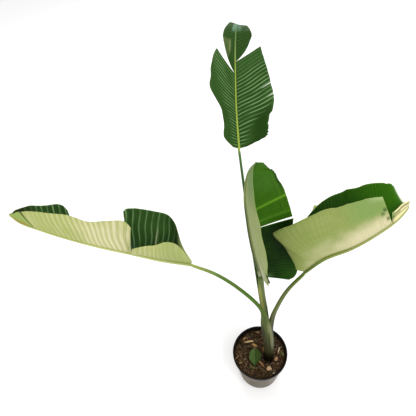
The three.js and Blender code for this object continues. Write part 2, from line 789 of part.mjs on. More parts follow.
// Inner leaves first: each later stalk is cut by those that it wraps round.
const leaves = [
  { name: 'tall', leaf: tallLeaf, blade: 0x34602f, stalk: 0x50703c },
  { name: 'middle', leaf: middleLeaf, blade: 0x2f6d18, stalk: 0x8c9650 },
  { name: 'right', leaf: rightLeaf, blade: 0x9cae6a, stalk: 0x6e7d46 },
  { name: 'left', leaf: leftLeaf, blade: 0xa9b878, stalk: 0x507328 },
];
for (const item of [...leaves, { leaf: sproutLeaf }]) item.leaf.line = new LeafLine(item.leaf.midrib);

const swollenStalks = leaves.map(({ leaf }) => toManifold(stalkGeometry(leaf, CUT_CLEARANCE)));
leaves.forEach(({ name, leaf, blade, stalk }, index) => {
  let rod = toManifold(stalkGeometry(leaf, 0));
  for (const inner of swollenStalks.slice(0, index)) rod = rod.subtract(inner);
  addPiece(`stalk_${name}_leaf`, toGeometry(rod), stalk, 0.5);
  addPiece(`blade_${name}_leaf`, thickenSheet(bladeSheet(leaf), BLADE_THICKNESS), blade, 0.45);
});

// The sprout's stalk runs into its blade, so its rod is not dropped under the keel.
const sproutBlade = toManifold(thickenSheet(bladeSheet(sproutLeaf), BLADE_THICKNESS));
const sproutRod = toManifold(stalkGeometry(sproutLeaf, 0, (depth) => depth / 2));
addPiece('sprout', toGeometry(sproutRod.add(sproutBlade)), 0x3f7a3c, 0.5);

const swollenSprout = toManifold(stalkGeometry(sproutLeaf, CUT_CLEARANCE, (depth) => depth / 2));
addPiece('soil', soilGeometry([...swollenStalks, swollenSprout]), 0x3c2d1e, 0.95);
addPiece('pot', potGeometry(), 0x2a2826, 0.55);

export default plant;
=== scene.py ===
"""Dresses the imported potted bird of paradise: leaves, stalks, sprout, soil, pot and a plain stage.

Sizes of the plant are in millimetres, as in the part's source, and become metres in each mesh.
"""

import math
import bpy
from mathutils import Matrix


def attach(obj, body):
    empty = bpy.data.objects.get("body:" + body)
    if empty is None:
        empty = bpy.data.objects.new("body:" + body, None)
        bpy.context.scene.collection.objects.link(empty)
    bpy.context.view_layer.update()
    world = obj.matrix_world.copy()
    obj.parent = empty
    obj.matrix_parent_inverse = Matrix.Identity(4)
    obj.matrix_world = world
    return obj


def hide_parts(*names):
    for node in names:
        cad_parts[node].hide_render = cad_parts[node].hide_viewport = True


bl_info = {
    "name": "Potted Bird of Paradise",
    "version": (1, 0, 0),
    "blender": (4, 5, 0),
    "location": "View3D > Sidebar > Plant",
    "description": "Builds a potted bird of paradise on its packed frame",
    "category": "Object",
}

import bmesh
import bpy
import numpy as np
from bpy.props import FloatProperty, FloatVectorProperty, IntProperty, PointerProperty
from mathutils import Euler, Matrix, Vector

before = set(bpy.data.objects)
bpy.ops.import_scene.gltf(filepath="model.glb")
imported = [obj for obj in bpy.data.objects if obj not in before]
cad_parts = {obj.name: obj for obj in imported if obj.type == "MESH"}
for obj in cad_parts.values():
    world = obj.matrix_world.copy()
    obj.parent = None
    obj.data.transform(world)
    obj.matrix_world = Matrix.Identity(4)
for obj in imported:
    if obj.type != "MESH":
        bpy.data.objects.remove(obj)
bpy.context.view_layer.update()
MM = 0.001
BODY = "root"
# Points nearer to each other than this, in millimetres, become one.
WELD_REACH = 0.002

# ------------------------------------------------------------------ the leaves
#
# stalk: points that the leaf stalk runs through, up from its root in the soil.
# girth: half width and half depth of the stalk, by share of the stalk's length.
# midrib: points along the blade's keel, from the stalk to the tip.
# facing: where the upper side of the blade looks, by share of the midrib.
# Each half of the blade is a row of strips, from the stalk to the tip. Its side veins have
# a length, a rise out of the blade's plane at the keel, a curl that adds to the rise on the
# way to the margin, a sweep towards the tip and a bend that adds to the sweep. A strip ends
# where the blade is torn to the keel. A slit is (place, share of the vein where it starts,
# gap): a shorter tear, in from the margin. A nick is (place, width, depth): a bite out of the
# margin, or a tongue where depth is negative.


def as_stations(values):
    """Stations (share, value) of a curve, which may be given as a pair or as one value."""
    if isinstance(values, list):
        return values
    return list(enumerate(values if isinstance(values, tuple) else (values, values)))


def blade_strip(to, length, rise, curl, sweep, bend=0, slits=(), nicks=()):
    """One strip, up to share `to` of the midrib, with its curves by share of the midrib.

    A curve is a list of stations, a pair (value at the stalk, value at the tip) or, where it is
    level, one value.
    """
    curves = {"rise": rise, "curl": curl, "sweep": sweep, "bend": bend}
    curves = {name: as_stations(values) for name, values in curves.items()}
    return dict(to=to, length=length, slits=slits, nicks=nicks, **curves)


TALL_LEAF = dict(
    name="tall", rib_radius=3.6, vein_spacing=(10.4, 8.2), pleat=0.4, base_facing=(0.3, -1, 0),
    stalk=[(32, -6, 120), (21, 2, 300), (-1, 36, 500), (-46, 172, 718), (-90, 345, 901)],
    girth=[(0, 10, 8), (0.25, 7, 6), (0.45, 5, 5), (1, 3.8, 3.8)],
    midrib=[
        (-90, 345, 901), (-102, 416, 990), (-108, 482, 1064), (-111, 537, 1121), (-111, 570, 1148),
        (-109, 601, 1152), (-105, 628, 1131), (-103, 642, 1093), (-102, 648, 1053),
    ],
    facing=[
        (0, 0.25, -0.74, 0.6), (0.5, 0.25, -0.72, 0.62), (0.7, 0.22, -0.72, 0.62),
        (0.85, 0.1, -0.1, 0.9), (1, 0, 0.7, 0.5),
    ],
    right=[
        blade_strip(
            0.517, [
                (0, 26), (0.012, 58), (0.024, 83), (0.04, 95), (0.075, 99), (0.13, 107),
                (0.14, 117), (0.2, 126), (0.28, 118), (0.4, 103), (0.46, 94), (0.517, 85),
            ],
            [(0, 30), (0.5, 28)], [(0, 8), (0.5, 10)],
            [(0, 12), (0.06, 10), (0.15, 18), (0.3, 24), (0.4, 26), (0.517, 25)],
            slits=[(0.22, 0.85, 1.4), (0.28, 0.75, 1.8)],
            nicks=[
                (0.012, 0.003, 4), (0.022, 0.003, 6), (0.034, 0.003, 4), (0.049, 0.004, 4),
                (0.066, 0.003, 3), (0.097, 0.006, 3),
            ],
        ),
        blade_strip(
            1, [(0.517, 88), (0.57, 66), (0.63, 52), (0.7, 39), (0.76, 29), (0.9, 24), (1, 5)],
            [(0.517, 16), (0.62, 18), (0.72, 22), (1, 8)], [(0.517, 14), (0.7, 0), (1, -20)],
            [(0.517, 34), (0.6, 26), (0.7, 8), (0.85, -5), (1, 0)],
            bend=[(0.517, 44), (0.6, 18), (0.74, 0)],
        ),
    ],
    left=[
        blade_strip(
            0.447, [
                (0, 30), (0.03, 68), (0.05, 76), (0.1, 72), (0.14, 76), (0.18, 86), (0.225, 135),
                (0.25, 140), (0.28, 136), (0.32, 137), (0.36, 131), (0.4, 124), (0.447, 108),
            ],
            [(0, 40), (0.5, 42)], 10,
            [(0, 15), (0.06, 20), (0.15, 26), (0.3, 30), (0.4, 32), (0.447, 33)],
        ),
        blade_strip(
            1, [
                (0.447, 112), (0.51, 72), (0.57, 49), (0.63, 41), (0.72, 32), (0.78, 24),
                (0.9, 20), (1, 5),
            ],
            [(0.447, 16), (0.6, 5), (0.74, -8), (1, -4)], [(0.447, 30), (0.6, 10), (1, -20)],
            [
                (0.447, 54), (0.51, 48), (0.57, 34), (0.63, 20), (0.72, 1), (0.8, -10), (0.9, -6),
                (1, 0),
            ],
            bend=[(0.447, 28), (0.57, 14), (0.67, 0)],
        ),
    ],
)

LEFT_LEAF = dict(
    name="left", rib_radius=4.2, vein_spacing=(16.5, 16), pleat=1, base_facing=(0.1, 1, 0),
    stalk=[
        (33, -16, 120), (32, -15, 252), (26, -10, 330), (16, 0, 434), (-3, 12, 540),
        (-62, 33, 607), (-146, 55, 662), (-221, 72, 675),
    ],
    girth=[
        (0, 16, 9), (0.2, 17.5, 8.4), (0.38, 18.5, 8.2), (0.45, 17.3, 7.8), (0.5, 14.6, 7.2),
        (0.55, 10.6, 6.8), (0.6, 7.2, 6.2), (0.7, 5.8, 5.8), (1, 4.6, 4.6),
    ],
    midrib=[
        (-221, 72, 675), (-319, 82, 671), (-409, 90, 684), (-505, 95, 702), (-598, 98, 731),
        (-683, 98, 773), (-735, 96, 811), (-749, 94, 846),
    ],
    facing=[(0, 0.2, 0.62, 0.76), (1, 0.2, 0.62, 0.76)],
    right=[
        blade_strip(
            0.355, [
                (0, 6), (0.05, 35), (0.08, 64), (0.1, 94), (0.12, 125), (0.16, 151), (0.24, 158),
                (0.34, 149), (0.355, 138),
            ],
            42, [(0, 30), (0.355, 25)], [(0, -18), (0.1, 2), (0.2, 8), (0.355, 21)],
        ),
        blade_strip(
            0.65, [(0.355, 120), (0.5, 125), (0.65, 115)],
            24, -95, [(0.355, 12), (0.65, 24)],
        ),
        blade_strip(
            1, [
                (0.65, 98), (0.665, 110), (0.69, 113), (0.75, 100), (0.83, 80), (0.9, 54),
                (0.95, 28), (1, 6),
            ],
            45, 30, [(0.65, 18), (0.75, 36), (0.85, 45), (1, 75)], bend=[(0.65, 22), (0.75, 0)],
        ),
    ],
    left=[
        blade_strip(
            0.33, [
                (0, 12), (0.03, 50), (0.06, 87), (0.09, 98), (0.18, 98), (0.24, 103), (0.33, 112),
            ],
            [(0, 34), (0.1, 32), (0.2, 26), (0.33, 10)], [(0, 40), (0.33, 34)],
            [(0, -14), (0.1, 0), (0.2, -3), (0.33, -10)],
        ),
        blade_strip(
            1, [
                (0.33, 110), (0.345, 128), (0.36, 132), (0.42, 121), (0.52, 106), (0.62, 108),
                (0.72, 100), (0.82, 81), (0.87, 66), (0.92, 44), (1, 6),
            ],
            [(0.33, 50), (0.8, 50), (1, 45)], 25,
            [(0.33, 2), (0.42, 14), (0.6, 25), (0.85, 45), (1, 75)], slits=[(0.857, 0.4, 3)],
        ),
    ],
)

RIGHT_LEAF = dict(
    name="right", rib_radius=4.2, vein_spacing=(7.5, 7), pleat=0.22, base_facing=(-1, 0.4, 0),
    stalk=[
        (41, -4, 120), (38, 0, 265), (28.5, 12, 411), (33, 20, 474), (44, 28, 529), (72, 43, 618),
        (115, 60, 691),
    ],
    girth=[
        (0, 12, 10), (0.25, 12, 9.5), (0.5, 11, 8.5), (0.65, 7.8, 7), (0.85, 5.8, 5.8),
        (1, 4.8, 4.8),
    ],
    midrib=[
        (115, 60, 691), (167, 68, 759), (232, 80, 797), (294, 100, 844), (337, 121, 881),
        (355, 139, 892), (368, 161, 886), (373, 181, 864),
    ],
    facing=[(0, -0.5, 0.7, 0.6), (1, -0.4, 0.72, 0.55)],
    right=[
        blade_strip(
            0.735, [
                (0, 22), (0.05, 41), (0.08, 60), (0.1, 78), (0.12, 102), (0.135, 146), (0.15, 148),
                (0.2, 138), (0.35, 133), (0.5, 121), (0.65, 98), (0.735, 83),
            ],
            (52, 55), (38, 35),
            [(0, -36), (0.06, -27), (0.12, -14), (0.2, -2), (0.3, 6), (0.735, 20)],
        ),
        blade_strip(
            1, [(0.735, 34), (0.8, 33), (0.86, 25), (0.93, 14), (1, 5)],
            45, 30, [(0.735, 34), (1, 50)],
        ),
    ],
    left=[
        blade_strip(
            1, [
                (0, 50), (0.06, 91), (0.12, 124), (0.2, 150), (0.3, 171), (0.4, 172), (0.5, 162),
                (0.65, 138), (0.75, 116), (0.8, 102), (0.86, 84), (0.92, 70), (1, 38),
            ],
            (52, 48), 26, [(0, -16), (0.1, 5), (0.3, 15), (0.8, 30), (1, 60)],
            nicks=[(0.21, 0.01, -9)],
        ),
    ],
)

MIDDLE_LEAF = dict(
    name="middle", rib_radius=7, vein_spacing=(7, 6), pleat=0.2, base_facing=(0.5, -1, 0),
    stalk=[(27, -4, 120), (28, 0, 261), (16, 22, 485), (2, 54, 574), (-3, 76, 616)],
    girth=[
        (0, 13, 10), (0.3, 12, 9.5), (0.55, 10.5, 9), (0.8, 10, 9.4), (0.92, 10, 9.2), (1, 9, 7.8),
    ],
    midrib=[
        (-3, 76, 616), (-31, 112, 711), (-50, 146, 808), (-60, 183, 893), (-58, 206, 918),
        (-50, 228, 935), (-34, 246, 946),
    ],
    facing=[(0, 0.7, -0.55, 0.45), (1, 0.75, -0.5, 0.45)],
    right=[
        blade_strip(
            0.447, [
                (0, 82), (0.02, 101), (0.06, 113), (0.1, 116), (0.2, 113), (0.3, 118),
                (0.447, 131),
            ],
            35, 10, [(0, -24), (0.1, -6), (0.3, 3), (0.447, 7)],
        ),
        blade_strip(
            1, [
                (0.447, 130), (0.52, 126), (0.6, 121), (0.7, 110), (0.8, 94), (0.88, 77),
                (0.95, 56), (1, 20),
            ],
            [(0.447, 35), (1, 25)], [(0.447, 10), (1, 0)],
            [(0.447, 10), (0.6, 18), (0.8, 22), (0.9, 28), (1, 40)], nicks=[(0.895, 0.004, 4)],
        ),
    ],
    left=[
        blade_strip(
            1, [
                (0, 56), (0.03, 62), (0.055, 66), (0.075, 79), (0.095, 83), (0.115, 78), (0.2, 94),
                (0.3, 106), (0.4, 110), (0.5, 104), (0.6, 95), (0.7, 89), (0.8, 68), (0.9, 39),
                (1, 6),
            ],
            [(0, 55), (0.5, 56), (1, 50)], 20, [(0, 2), (0.1, 0), (0.4, 5), (0.8, 8), (1, 0)],
        ),
    ],
)

SPROUT_LEAF = dict(
    name="sprout", rib_radius=2.2, vein_spacing=(3, 3), pleat=0.1, base_facing=(0, -1, 0),
    stalk=[(-17, -51, 145), (-17, -51, 160), (-17, -49, 172), (-18, -46, 182)],
    girth=[(0, 3.2, 3.2), (1, 2.4, 2.4)],
    midrib=[(-18, -46, 182), (-18, -33, 197), (-18, -19, 209), (-18, -3, 217)],
    facing=[(0, -0.1, -0.5, 0.8), (1, 0, -0.2, 1)],
    right=[
        blade_strip(
            1, [(0, 4), (0.12, 11), (0.3, 20), (0.5, 23), (0.7, 20), (0.88, 12), (1, 3)],
            (14, 10), (-12, -8), [(0, -10), (0.3, 8), (0.7, 30), (1, 60)],
        ),
    ],
    left=[
        blade_strip(
            1, [(0, 4), (0.12, 11), (0.3, 20), (0.5, 22), (0.7, 19), (0.88, 11), (1, 3)],
            (16, 12), (-12, -8), [(0, -10), (0.3, 8), (0.7, 30), (1, 60)],
        ),
    ],
)

# Each later stalk is cut by those that it wraps round.
LEAVES = [TALL_LEAF, MIDDLE_LEAF, RIGHT_LEAF, LEFT_LEAF]

# The midrib's radius at its tip and how it thins on the way, and the share of a stalk from which
# it faces as its blade does.
RIB_TIP_RADIUS = 1.1
RIB_TAPER = 0.8
STALK_TURNED_BY = 0.55
# How fine the stalks are, how far one stands off another that it wraps round, and how far under
# its blade a midrib lies.
STALK_SIDES = 28
STALK_STEPS = 70
RIB_STEPS = 90
CUT_CLEARANCE = 0.35
RIB_TOUCH = 0.35
# How far along the keel a slit's gap runs, as a share of it, the lengths of side vein from which
# a margin ripples and wears in full, and the distance from a tear where there is none.
SLIT_REACH = 1 / 24
RIPPLE_FULL_LENGTH = 80
WEAR_FULL_LENGTH = 40
UNTORN = 1e3
# Rows of points up each side vein: at these shares near the keel, and then evenly.
KEEL_SHARES = [0, 0.01, 0.024, 0.042, 0.065, 0.095]
VEIN_ROWS = 20
# Side veins sway: by this share of their spacing, over these lengths up them and along the keel.
VEIN_SWAY = 0.12
SWAY_UP = 17
SWAY_ALONG = 31

# ------------------------------------------------------------------ pot and soil

# The pot is drawn out from a small disc, of the centre radius, in its floor.
POT_HEIGHT = 185
POT_RIM_RADIUS = 102
POT_BASE_RADIUS = 77
POT_WALL = 2.2
POT_FLOOR = 3
RIM_HEIGHT = 12
RIM_REACH = 3.4
DRAIN_HOLES = 8
DRAIN_RADIUS = 6
DRAIN_CIRCLE = 52
CENTRE_RADIUS = 4
SOIL_LEVEL = 166
SOIL_BUMP = 1.5
# The gap between soil and pot.
SOIL_PLAY = 0.3
NECK_HEIGHT = POT_HEIGHT - RIM_HEIGHT
NECK_RADIUS = POT_RIM_RADIUS - RIM_REACH

# The large chips on the soil: middle, length, width, turn in degrees and colour.
BIG_CHIPS = [
    ((-44, 43), 32, 6, 15, (0.66, 0.47, 0.23)),
    ((-22, 30), 20, 8, -25, (0.42, 0.24, 0.08)),
    ((4, -34), 38, 6, -45, (0.26, 0.13, 0.05)),
    ((36, -52), 17, 13, 20, (0.55, 0.36, 0.2)),
    ((62, -15), 16, 9, 65, (0.4, 0.24, 0.11)),
    ((71, 21), 26, 4, 72, (0.5, 0.4, 0.26)),
    ((-62, 54), 19, 8, 45, (0.3, 0.155, 0.07)),
]
# Thin loose bits, given in the same way: weeds, moss and dry sheath.
LOOSE_BITS = [
    ((84, 8), 9, 4, 30, (0.1, 0.15, 0.04)), ((80, 14), 7, 3, 110, (0.13, 0.19, 0.05)),
    ((87, 2), 7, 4, -40, (0.14, 0.17, 0.06)), ((79, 3), 5, 3, 75, (0.09, 0.13, 0.03)),
    ((-31, -53), 9, 4, 10, (0.12, 0.16, 0.04)), ((-22, -57), 9, 3, -8, (0.11, 0.17, 0.04)),
    ((-10, -55), 8, 3, 15, (0.2, 0.16, 0.06)), ((12, 20), 26, 4, 74, (0.2, 0.12, 0.04)),
    ((-84, -22), 20, 3, 60, (0.3, 0.17, 0.06)), ((-70, -42), 12, 5, 20, (0.32, 0.2, 0.1)),
    ((-14, 84), 14, 4, 20, (0.3, 0.22, 0.12)), ((54, -68), 9, 5, 30, (0.55, 0.46, 0.34)),
]
# Painted shadow on the soil, round the stems' base and between them and the sprout: middle and
# reach.
SHADOW_SPOTS = [((26, -22), 34), ((2, -28), 19)]
# No splinter or crumb lies nearer to the stems than this.
STEM_CENTRE = (32, -8)
STEM_KEEP_OUT = 22
# How many forms the chips and the crumbs take in turn, and how many pale grains there are.
CHIP_SHAPES = 7
CRUMB_SHAPES = 6
PALE_GRAINS = 26


# ------------------------------------------------------------------ curves and frames


def smooth(stations, place):
    """Values at place of a smooth curve through stations (place, value), level past its ends."""
    x, y = np.array(stations, float).T
    place = np.clip(np.asarray(place, float), x[0], x[-1])
    slope = np.empty_like(y)
    slope[0] = (y[1] - y[0]) / (x[1] - x[0])
    slope[-1] = (y[-1] - y[-2]) / (x[-1] - x[-2])
    slope[1:-1] = (y[2:] - y[:-2]) / (x[2:] - x[:-2])
    low = np.clip(np.searchsorted(x, place, side="right") - 1, 0, len(x) - 2)
    width = x[low + 1] - x[low]
    s = (place - x[low]) / width
    rest = 1 - s
    rising = (1 + 2 * s) * rest**2 * y[low] + s * rest**2 * width * slope[low]
    return rising + s**2 * (3 - 2 * s) * y[low + 1] - s**2 * rest * width * slope[low + 1]


def mixed(stations, place):
    """Vectors at place between stations (place, x, y, z), mixed in straight steps."""
    table = np.array(stations, float)
    return np.stack([np.interp(place, table[:, 0], table[:, k]) for k in (1, 2, 3)], axis=-1)


def ease(value, low, high):
    """0 below low, 1 above high and a smooth step between."""
    x = np.clip((value - low) / (high - low), 0, 1)
    return x * x * (3 - 2 * x)


def unit(vectors):
    """Vectors of length 1."""
    return vectors / np.linalg.norm(vectors, axis=-1, keepdims=True)


class LeafLine:
    """A smooth line through points, read by its share of the length from point to point."""

    def __init__(self, points):
        self.points = np.array(points, float)
        steps = np.diff(self.points, axis=0)
        gaps = np.linalg.norm(steps, axis=1)
        self.marks = np.concatenate([[0], np.cumsum(gaps)])
        self.length = self.marks[-1]
        pace = steps / gaps[:, None]
        self.tangents = np.empty_like(self.points)
        self.tangents[0], self.tangents[-1] = pace[0], pace[-1]
        share = (gaps[:-1] / (gaps[:-1] + gaps[1:]))[:, None]
        self.tangents[1:-1] = pace[:-1] * (1 - share) + pace[1:] * share

    def at(self, share):
        """The point at a share of the length."""
        distance = np.clip(share, 0, 1) * self.length
        low = np.searchsorted(self.marks, distance, side="right") - 1
        low = np.clip(low, 0, len(self.marks) - 2)
        width = (self.marks[low + 1] - self.marks[low])[..., None]
        s = (distance - self.marks[low])[..., None] / width
        start, end = self.points[low], self.points[low + 1]
        leave, arrive = self.tangents[low], self.tangents[low + 1]
        rising = (2 * s**3 - 3 * s**2 + 1) * start + (s**3 - 2 * s**2 + s) * width * leave
        return rising + (3 * s**2 - 2 * s**3) * end + (s**3 - s**2) * width * arrive

    def frame(self, share, facing):
        """Origin, along the line, up out of the blade, and side, to the right of someone on it."""
        step = 0.002
        along = unit(self.at(share + step) - self.at(share - step))
        up = unit(facing - (facing * along).sum(-1, keepdims=True) * along)
        return self.at(share), along, up, np.cross(along, up)


# ------------------------------------------------------------------ shader nodes


class Value:
    """A socket of numbers that can be reckoned with: each sign adds a Math node."""

    def __init__(self, finish, socket):
        self.finish = finish
        self.socket = socket

    def math(self, operation, *others):
        inputs = dict(enumerate([self, *others]))
        return Value(self.finish, self.finish.node("Math", inputs, operation=operation).outputs[0])

    def __add__(self, other):
        return self.math("ADD", other)

    def __sub__(self, other):
        return self.math("SUBTRACT", other)

    def __rsub__(self, other):
        return (self * -1).math("ADD", other)

    def __mul__(self, other):
        return self.math("MULTIPLY", other)

    def __truediv__(self, other):
        return self.math("DIVIDE", other)

    def __pow__(self, other):
        return self.math("POWER", other)

    __radd__ = __add__

    def sine(self):
        return self.math("SINE")

    def span(self, low, high, start=0, end=1):
        """Eased from start to end as the value goes from low to high."""
        inputs = dict(enumerate([self, low, high, start, end]))
        made = self.finish.node("MapRange", inputs, interpolation_type="SMOOTHSTEP")
        return Value(self.finish, made.outputs[0])


class Finish:
    """A material with one Principled shader, and the nodes that paint it."""

    def __init__(self, name, **sockets):
        self.material = bpy.data.materials.new(name)
        self.material.use_nodes = True
        self.tree = self.material.node_tree
        self.shader = self.tree.nodes["Principled BSDF"]
        self.set(**sockets)

    def set(self, **sockets):
        for name, value in sockets.items():
            label = name.replace("_", " ").title().replace("Ior", "IOR")
            self.plug(self.shader.inputs[label], value)
        return self

    def plug(self, socket, value):
        source = value.socket if isinstance(value, Value) else value
        if isinstance(source, bpy.types.NodeSocket):
            self.tree.links.new(source, socket)
        elif socket.type == "RGBA" and len(source) == 3:
            socket.default_value = (*source, 1)
        else:
            socket.default_value = source

    def node(self, kind, inputs=None, **settings):
        """A node of a type, with its settings made first, and then its sockets."""
        made = self.tree.nodes.new("ShaderNode" + kind)
        for name, setting in settings.items():
            setattr(made, name, setting)
        for name, value in (inputs or {}).items():
            self.plug(made.inputs[name], value)
        return made

    def mix(self, factor, first, second, blend="MIX"):
        inputs = {"Factor": factor, 6: first, 7: second}
        return self.node("Mix", inputs, data_type="RGBA", blend_type=blend).outputs[2]

    def coats(self, base, *coats):
        """A base colour under coats (strength, colour), each one over those before it."""
        for strength, colour in coats:
            base = self.mix(strength, base, colour)
        return base

    def ramp(self, value, stops):
        """Colours by stops (place, colour from 0 to 255)."""
        made = self.node("ValToRGB", {0: value})
        elements = made.color_ramp.elements
        while len(elements) < len(stops):
            elements.new(1)
        for element, (place, colour) in zip(elements, stops):
            element.position = place
            element.color = (*srgb(*colour), 1)
        return made.outputs[0]

    def point(self, x, y, z):
        return self.node("CombineXYZ", {0: x, 1: y, 2: z}).outputs[0]

    def object_place(self):
        return self.node("TexCoord").outputs["Object"]

    def stretched(self, vector, scale):
        return self.node("Mapping", {"Vector": vector, "Scale": scale}).outputs[0]

    def axes(self, vector):
        """The three values of a vector."""
        return [Value(self, axis) for axis in self.node("SeparateXYZ", {0: vector}).outputs]

    def attribute(self, name):
        """The three values that a piece's attribute holds."""
        return self.axes(self.node("Attribute", attribute_name=name).outputs["Vector"])

    def stains_and_light(self, name, patches):
        """A coat of the stains and the painted light kept in an attribute, a little uneven."""
        stain_and_light = self.node("Attribute", attribute_name=name)
        strength = Value(self, stain_and_light.outputs["Alpha"]) * patches.span(0.2, 0.5, 0.75, 1)
        return strength, stain_and_light.outputs["Color"]

    def noise(self, vector, scale=1, detail=2, roughness=0.5):
        inputs = {"Vector": vector, "Scale": scale, "Detail": detail, "Roughness": roughness}
        return Value(self, self.node("TexNoise", inputs).outputs["Fac"])

    def bump(self, height, distance, strength):
        inputs = {"Height": height, "Distance": distance, "Strength": strength}
        return self.node("Bump", inputs).outputs[0]


def srgb(red, green, blue):
    """A colour as a picture shows it, from 0 to 255, in the shader's linear values."""
    shares = [channel / 255 for channel in (red, green, blue)]
    return tuple(c / 12.92 if c <= 0.04045 else ((c + 0.055) / 1.055) ** 2.4 for c in shares)


# ------------------------------------------------------------------ meshes


def mesh_piece(name, points, faces, attributes=None, shade_smooth=True):
    """An object with its place in its mesh, from points in millimetres."""
    mesh = bpy.data.meshes.new(name)
    mesh.from_pydata((np.asarray(points, float) * MM).tolist(), [], faces)
    for key, values in (attributes or {}).items():
        layer = mesh.attributes.new(key, "FLOAT_VECTOR", "POINT")
        layer.data.foreach_set("vector", np.asarray(values, np.float32).ravel())
    mesh.polygons.foreach_set("use_smooth", [shade_smooth] * len(mesh.polygons))
    mesh.update()
    piece = bpy.data.objects.new(name, mesh)
    bpy.context.scene.collection.objects.link(piece)
    return piece


def weld(piece):
    """Joins points that lie next to nothing apart."""
    shape = bmesh.new()
    shape.from_mesh(piece.data)
    bmesh.ops.remove_doubles(shape, verts=shape.verts, dist=WELD_REACH * MM)
    bmesh.ops.dissolve_degenerate(shape, edges=shape.edges, dist=WELD_REACH * MM)
    shape.to_mesh(piece.data)
    shape.free()


def pick(piece):
    """Makes a piece the one that Blender's tools work on."""
    bpy.ops.object.select_all(action="DESELECT")
    piece.select_set(True)
    bpy.context.view_layer.objects.active = piece


def apply_modifier(piece, kind, **settings):
    pick(piece)
    modifier = piece.modifiers.new(kind.title(), kind)
    for name, setting in settings.items():
        setattr(modifier, name, setting)
    bpy.ops.object.modifier_apply(modifier=modifier.name)


def cut(piece, tool):
    """Takes a tool's form out of a piece, and removes the tool."""
    apply_modifier(piece, "BOOLEAN", operation="DIFFERENCE", object=tool, solver="EXACT")
    bpy.data.objects.remove(tool)


def shade_by_angle(piece, degrees):
    pick(piece)
    bpy.ops.object.shade_smooth_by_angle(angle=math.radians(degrees))


def paint_with(piece, *finishes):
    for finish in finishes:
        piece.data.materials.append(finish.material)


def settle(piece, slot, *nodes):
    """Ties a finished piece to the frame."""
    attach(piece, BODY)
    if nodes:
        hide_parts(*nodes)


def grid_faces(columns, rows, flip, first=0):
    """Quads over a grid of points, kept column by column."""
    low = first + np.arange(columns - 1)[:, None] * rows + np.arange(rows - 1)
    around = [low, low + 1, low + rows + 1, low + rows]
    if flip:
        around.reverse()
    return np.stack(around, axis=-1).reshape(-1, 4).tolist()


# ------------------------------------------------------------------ leaf blades


def waver(place, seed):
    """An uneven wave from about -1 to 1."""
    return (
        np.sin(place * 97 + seed) + 0.7 * np.sin(place * 211 + 2.3 * seed)
        + 0.5 * np.sin(place * 461 + 4.1 * seed)
    ) / 2.2


def half_grid(leaf, strip, places, hand, look):
    """Points of one run of side veins, from the keel to the margin, and where they lie."""
    reaches = np.concatenate([KEEL_SHARES, np.linspace(KEEL_SHARES[-1], 1, VEIN_ROWS + 1)[1:]])
    line = leaf["line"]
    origin, along, up, side = line.frame(places, mixed(leaf["facing"], places))
    length = smooth(strip["length"], places)
    full = length.copy()
    for at, width, depth in strip["nicks"]:
        length = length - depth * np.exp(-(((places - at) / width) ** 2))
    wear = look.margin_wear * waver(places, 3 * hand)
    length = length + wear * np.minimum(1, full / WEAR_FULL_LENGTH)
    steps = np.diff(reaches)
    middles = reaches[:-1] + steps / 2
    rise, curl, sweep, bend = [
        smooth(strip[key], places)[:, None] for key in ("rise", "curl", "sweep", "bend")
    ]
    tilt = np.radians(rise + curl * middles)
    lean = np.radians(sweep + bend * middles)
    step = (
        (hand * np.cos(tilt) * np.cos(lean))[..., None] * side[:, None]
        + (np.sin(tilt) * np.cos(lean))[..., None] * up[:, None]
        + np.sin(lean)[..., None] * along[:, None]
    ) * (length[:, None] * steps)[..., None]
    walk = np.concatenate([np.zeros((len(places), 1, 3)), np.cumsum(step, axis=1)], axis=1)
    wave = np.sin(places * 23) + 0.6 * np.sin(places * 37 + 2 * hand)
    ripple = look.margin_ripple * wave * np.minimum(1, full / RIPPLE_FULL_LENGTH)
    points = origin[:, None] + walk + (ripple[:, None] * reaches**2)[..., None] * up[:, None]

    # Side veins stand out of the sheet as pleats that fade towards the keel and the margin.
    normal = np.cross(np.gradient(points, axis=1), np.gradient(points, axis=0) + 1e-9)
    normal = hand * unit(normal + 1e-12)
    down_keel = places * line.length
    away = reaches * length[:, None]
    keel = down_keel[:, None]
    spacing = leaf["vein_spacing"][0 if hand > 0 else 1]
    lane = keel / spacing + VEIN_SWAY * np.sin(away / SWAY_UP + keel / SWAY_ALONG)
    show = PAINTS[leaf["name"]](places[:, None], reaches, np.full(1, hand))[0]
    swell = leaf["pleat"] * look.pleat_depth * np.sin(2 * np.pi * lane) * np.minimum(show, 1)
    fade = ease(away, 1.5, 9) * (1 - 0.6 * ease(reaches, 0.85, 1))
    points = points + (swell * fade)[..., None] * normal
    return points, along, down_keel, away, reaches, full


